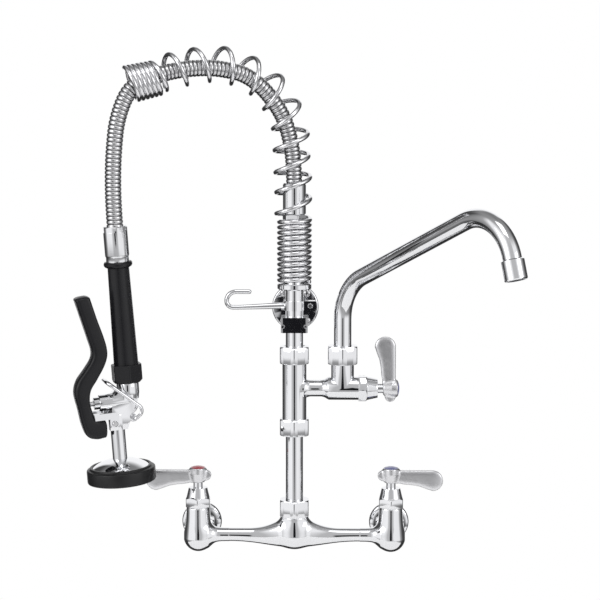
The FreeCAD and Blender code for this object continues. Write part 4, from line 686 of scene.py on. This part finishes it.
# The grip: a black moulded sleeve on a brass core tube, with a flange above the hand and a
# black hexagon nut below it.
GRIP_BLACK = moulding("black_grip_plastic", (0.009, 0.009, 0.011), (0.014, 0.014, 0.016), 0.24, 0.34,
                      1400, 0.06, specular=0.3)
keep(BRASS, "grip_core")
keep(GRIP_BLACK, "grip", "grip_nut")

# The spray valve: a chromed casting with the plunger's housing on its side. The stainless
# plunger and its spring close it.
keep(CAST_CHROME, "spray_body", eased=0.0007)
keep(STEEL, "plunger")
keep(SPRING_WIRE, "plunger_spring")

# The spray head: a spun chrome dome on the outlet tube, a steel nozzle plate under it, and a
# black rubber bumper stretched over both. The bumper is moulded, with a lip below the plate, an
# upright side and a step at the top that grips the dome's rim.
RUBBER_BLACK = moulding("black_bumper_rubber", (0.010, 0.010, 0.011), (0.016, 0.016, 0.017), 0.30, 0.42,
                        1200, 0.06, specular=0.35)
keep(TUBE_CHROME, "spray_dome")
keep(STEEL, "spray_plate")
GRIP_PLACE = (178.2, 0, 181.4)
GRIP_TILT = 4
OUTLET_X = 14
SPRAY = GOOSENECK @ Matrix.Translation(GRIP_PLACE) @ Matrix.Rotation(math.radians(GRIP_TILT), 4, "Y")
HEAD = SPRAY @ Matrix.Translation((OUTLET_X, 0, 0))


def ring_of(outline, steps, around):
    """A closed ring turned about Z: the outline's corners (r, z) are joined in a loop, each
    stretch gets the same number of steps, and a point at angle a is (r cos a, r sin a, z)."""
    corners = np.array(outline + outline[:1], float)
    where = np.linspace(0, len(outline), len(outline) * steps, endpoint=False)
    radius, height = (np.interp(where, np.arange(len(corners)), corners[:, k]) for k in (0, 1))
    angle = np.linspace(0, 2 * np.pi, around + 1)[:, None]
    return np.stack([radius * np.cos(angle), radius * np.sin(angle), height + 0 * angle], axis=-1)


BUMPER = [(23.5, -105.1), (23.5, -110.0), (24.0, -110.5), (33.4, -110.5), (34.5, -110.1), (35.0, -109.2),
          (35.1, -108.4), (35.1, -98.2), (34.9, -97.3), (34.3, -96.7), (32.6, -96.2), (32.1, -95.8),
          (31.9, -95.4), (31.7, -94.7), (31.2, -94.3), (30.4, -94.2), (29.4, -94.4), (28.6, -95.2),
          (28.6, -105.1)]
skin("rubber_bumper", placed(ring_of(BUMPER, 2, 128), HEAD), RUBBER_BLACK, "rubber_black", "gooseneck",
     "bumper", sharp=50)

# The squeeze lever: a black moulding with rounded edges that bends round the hand, and two
# chromed cheeks at its foot that turn on stub screws. A shallow hollow takes the grip.
LEVER_OUTER = [(28.4, -62.8), (37.6, -63.4), (46.2, -59.6), (50.6, -48), (53.2, -32), (55.9, -15),
               (52.4, -2.5), (43.6, 8.4), (36.3, 18.5), (34.9, 27), (37.8, 40), (41.5, 55), (44.7, 68),
               (47.6, 79.5)]
LEVER_INNER = [(28.2, -44.4), (33.2, -43.8), (37, -40.6), (39.4, -34), (41, -24), (38.6, -12.2),
               (30.5, -1.2), (22.9, 9.6), (18.6, 20.2), (18.4, 30), (20.9, 42), (24.9, 56), (28.6, 69.4),
               (31.9, 80.9)]
LEVER_HALF_WIDTH = 9.3
LEVER_END_ROUND = 3.2
LEVER_SQUARENESS = 0.45
HOLLOW_DEPTH = 1.9
row = np.linspace(0, len(LEVER_OUTER) - 1, 150)
outer, inner = rail(LEVER_OUTER, row), rail(LEVER_INNER, row)
curl = np.linspace(0, np.pi / 2, 9)[:-1]
shrink = np.concatenate([np.sin(curl), np.ones(len(row)), np.sin(curl)[::-1]])
beyond = np.concatenate([np.cos(curl), np.zeros(len(row)), np.cos(curl)[::-1]])
pick = np.concatenate([np.zeros(len(curl), int), np.arange(len(row)), np.full(len(curl), len(row) - 1)])
centre, half = ((outer + inner) / 2)[pick], ((outer - inner) / 2)[pick]
way = heading((outer + inner) / 2)
end_way = np.where((np.arange(len(pick)) < len(pick) / 2)[:, None], -way[0], way[-1])
centre = centre + end_way * (beyond * LEVER_END_ROUND)[:, None]
angle = np.linspace(0, 2 * np.pi, 48, endpoint=False)
wide = np.sign(np.cos(angle)) * np.abs(np.cos(angle)) ** LEVER_SQUARENESS
deep = np.sign(np.sin(angle)) * np.abs(np.sin(angle)) ** LEVER_SQUARENESS
hollow_along = np.interp(centre[:, 1], [-6, 8, 60, 80], [0, 1, 1, 0.2])
hollow_across = np.where(deep < 0, 1 - wide ** 2, 0)
hollow = HOLLOW_DEPTH * hollow_along[:, None] * hollow_across / np.linalg.norm(half, axis=1)[:, None]
span = shrink[:, None] * (deep + hollow)
plane = centre[:, None, :] + half[:, None, :] * span[:, :, None]
lever_grid = np.stack([plane[..., 0], shrink[:, None] * wide * LEVER_HALF_WIDTH, plane[..., 1]], axis=-1)
skin("squeeze_lever", placed(lever_grid, SPRAY), GRIP_BLACK, "grip_black", "lever", "spray_lever")
keep(NUT_CHROME, "lever_yoke")
keep(STEEL, "lever_pins")

# The hold ring: a loop of plated wire that flips over the lever to keep the valve open.
keep(SPRING_WIRE, "hold_ring")
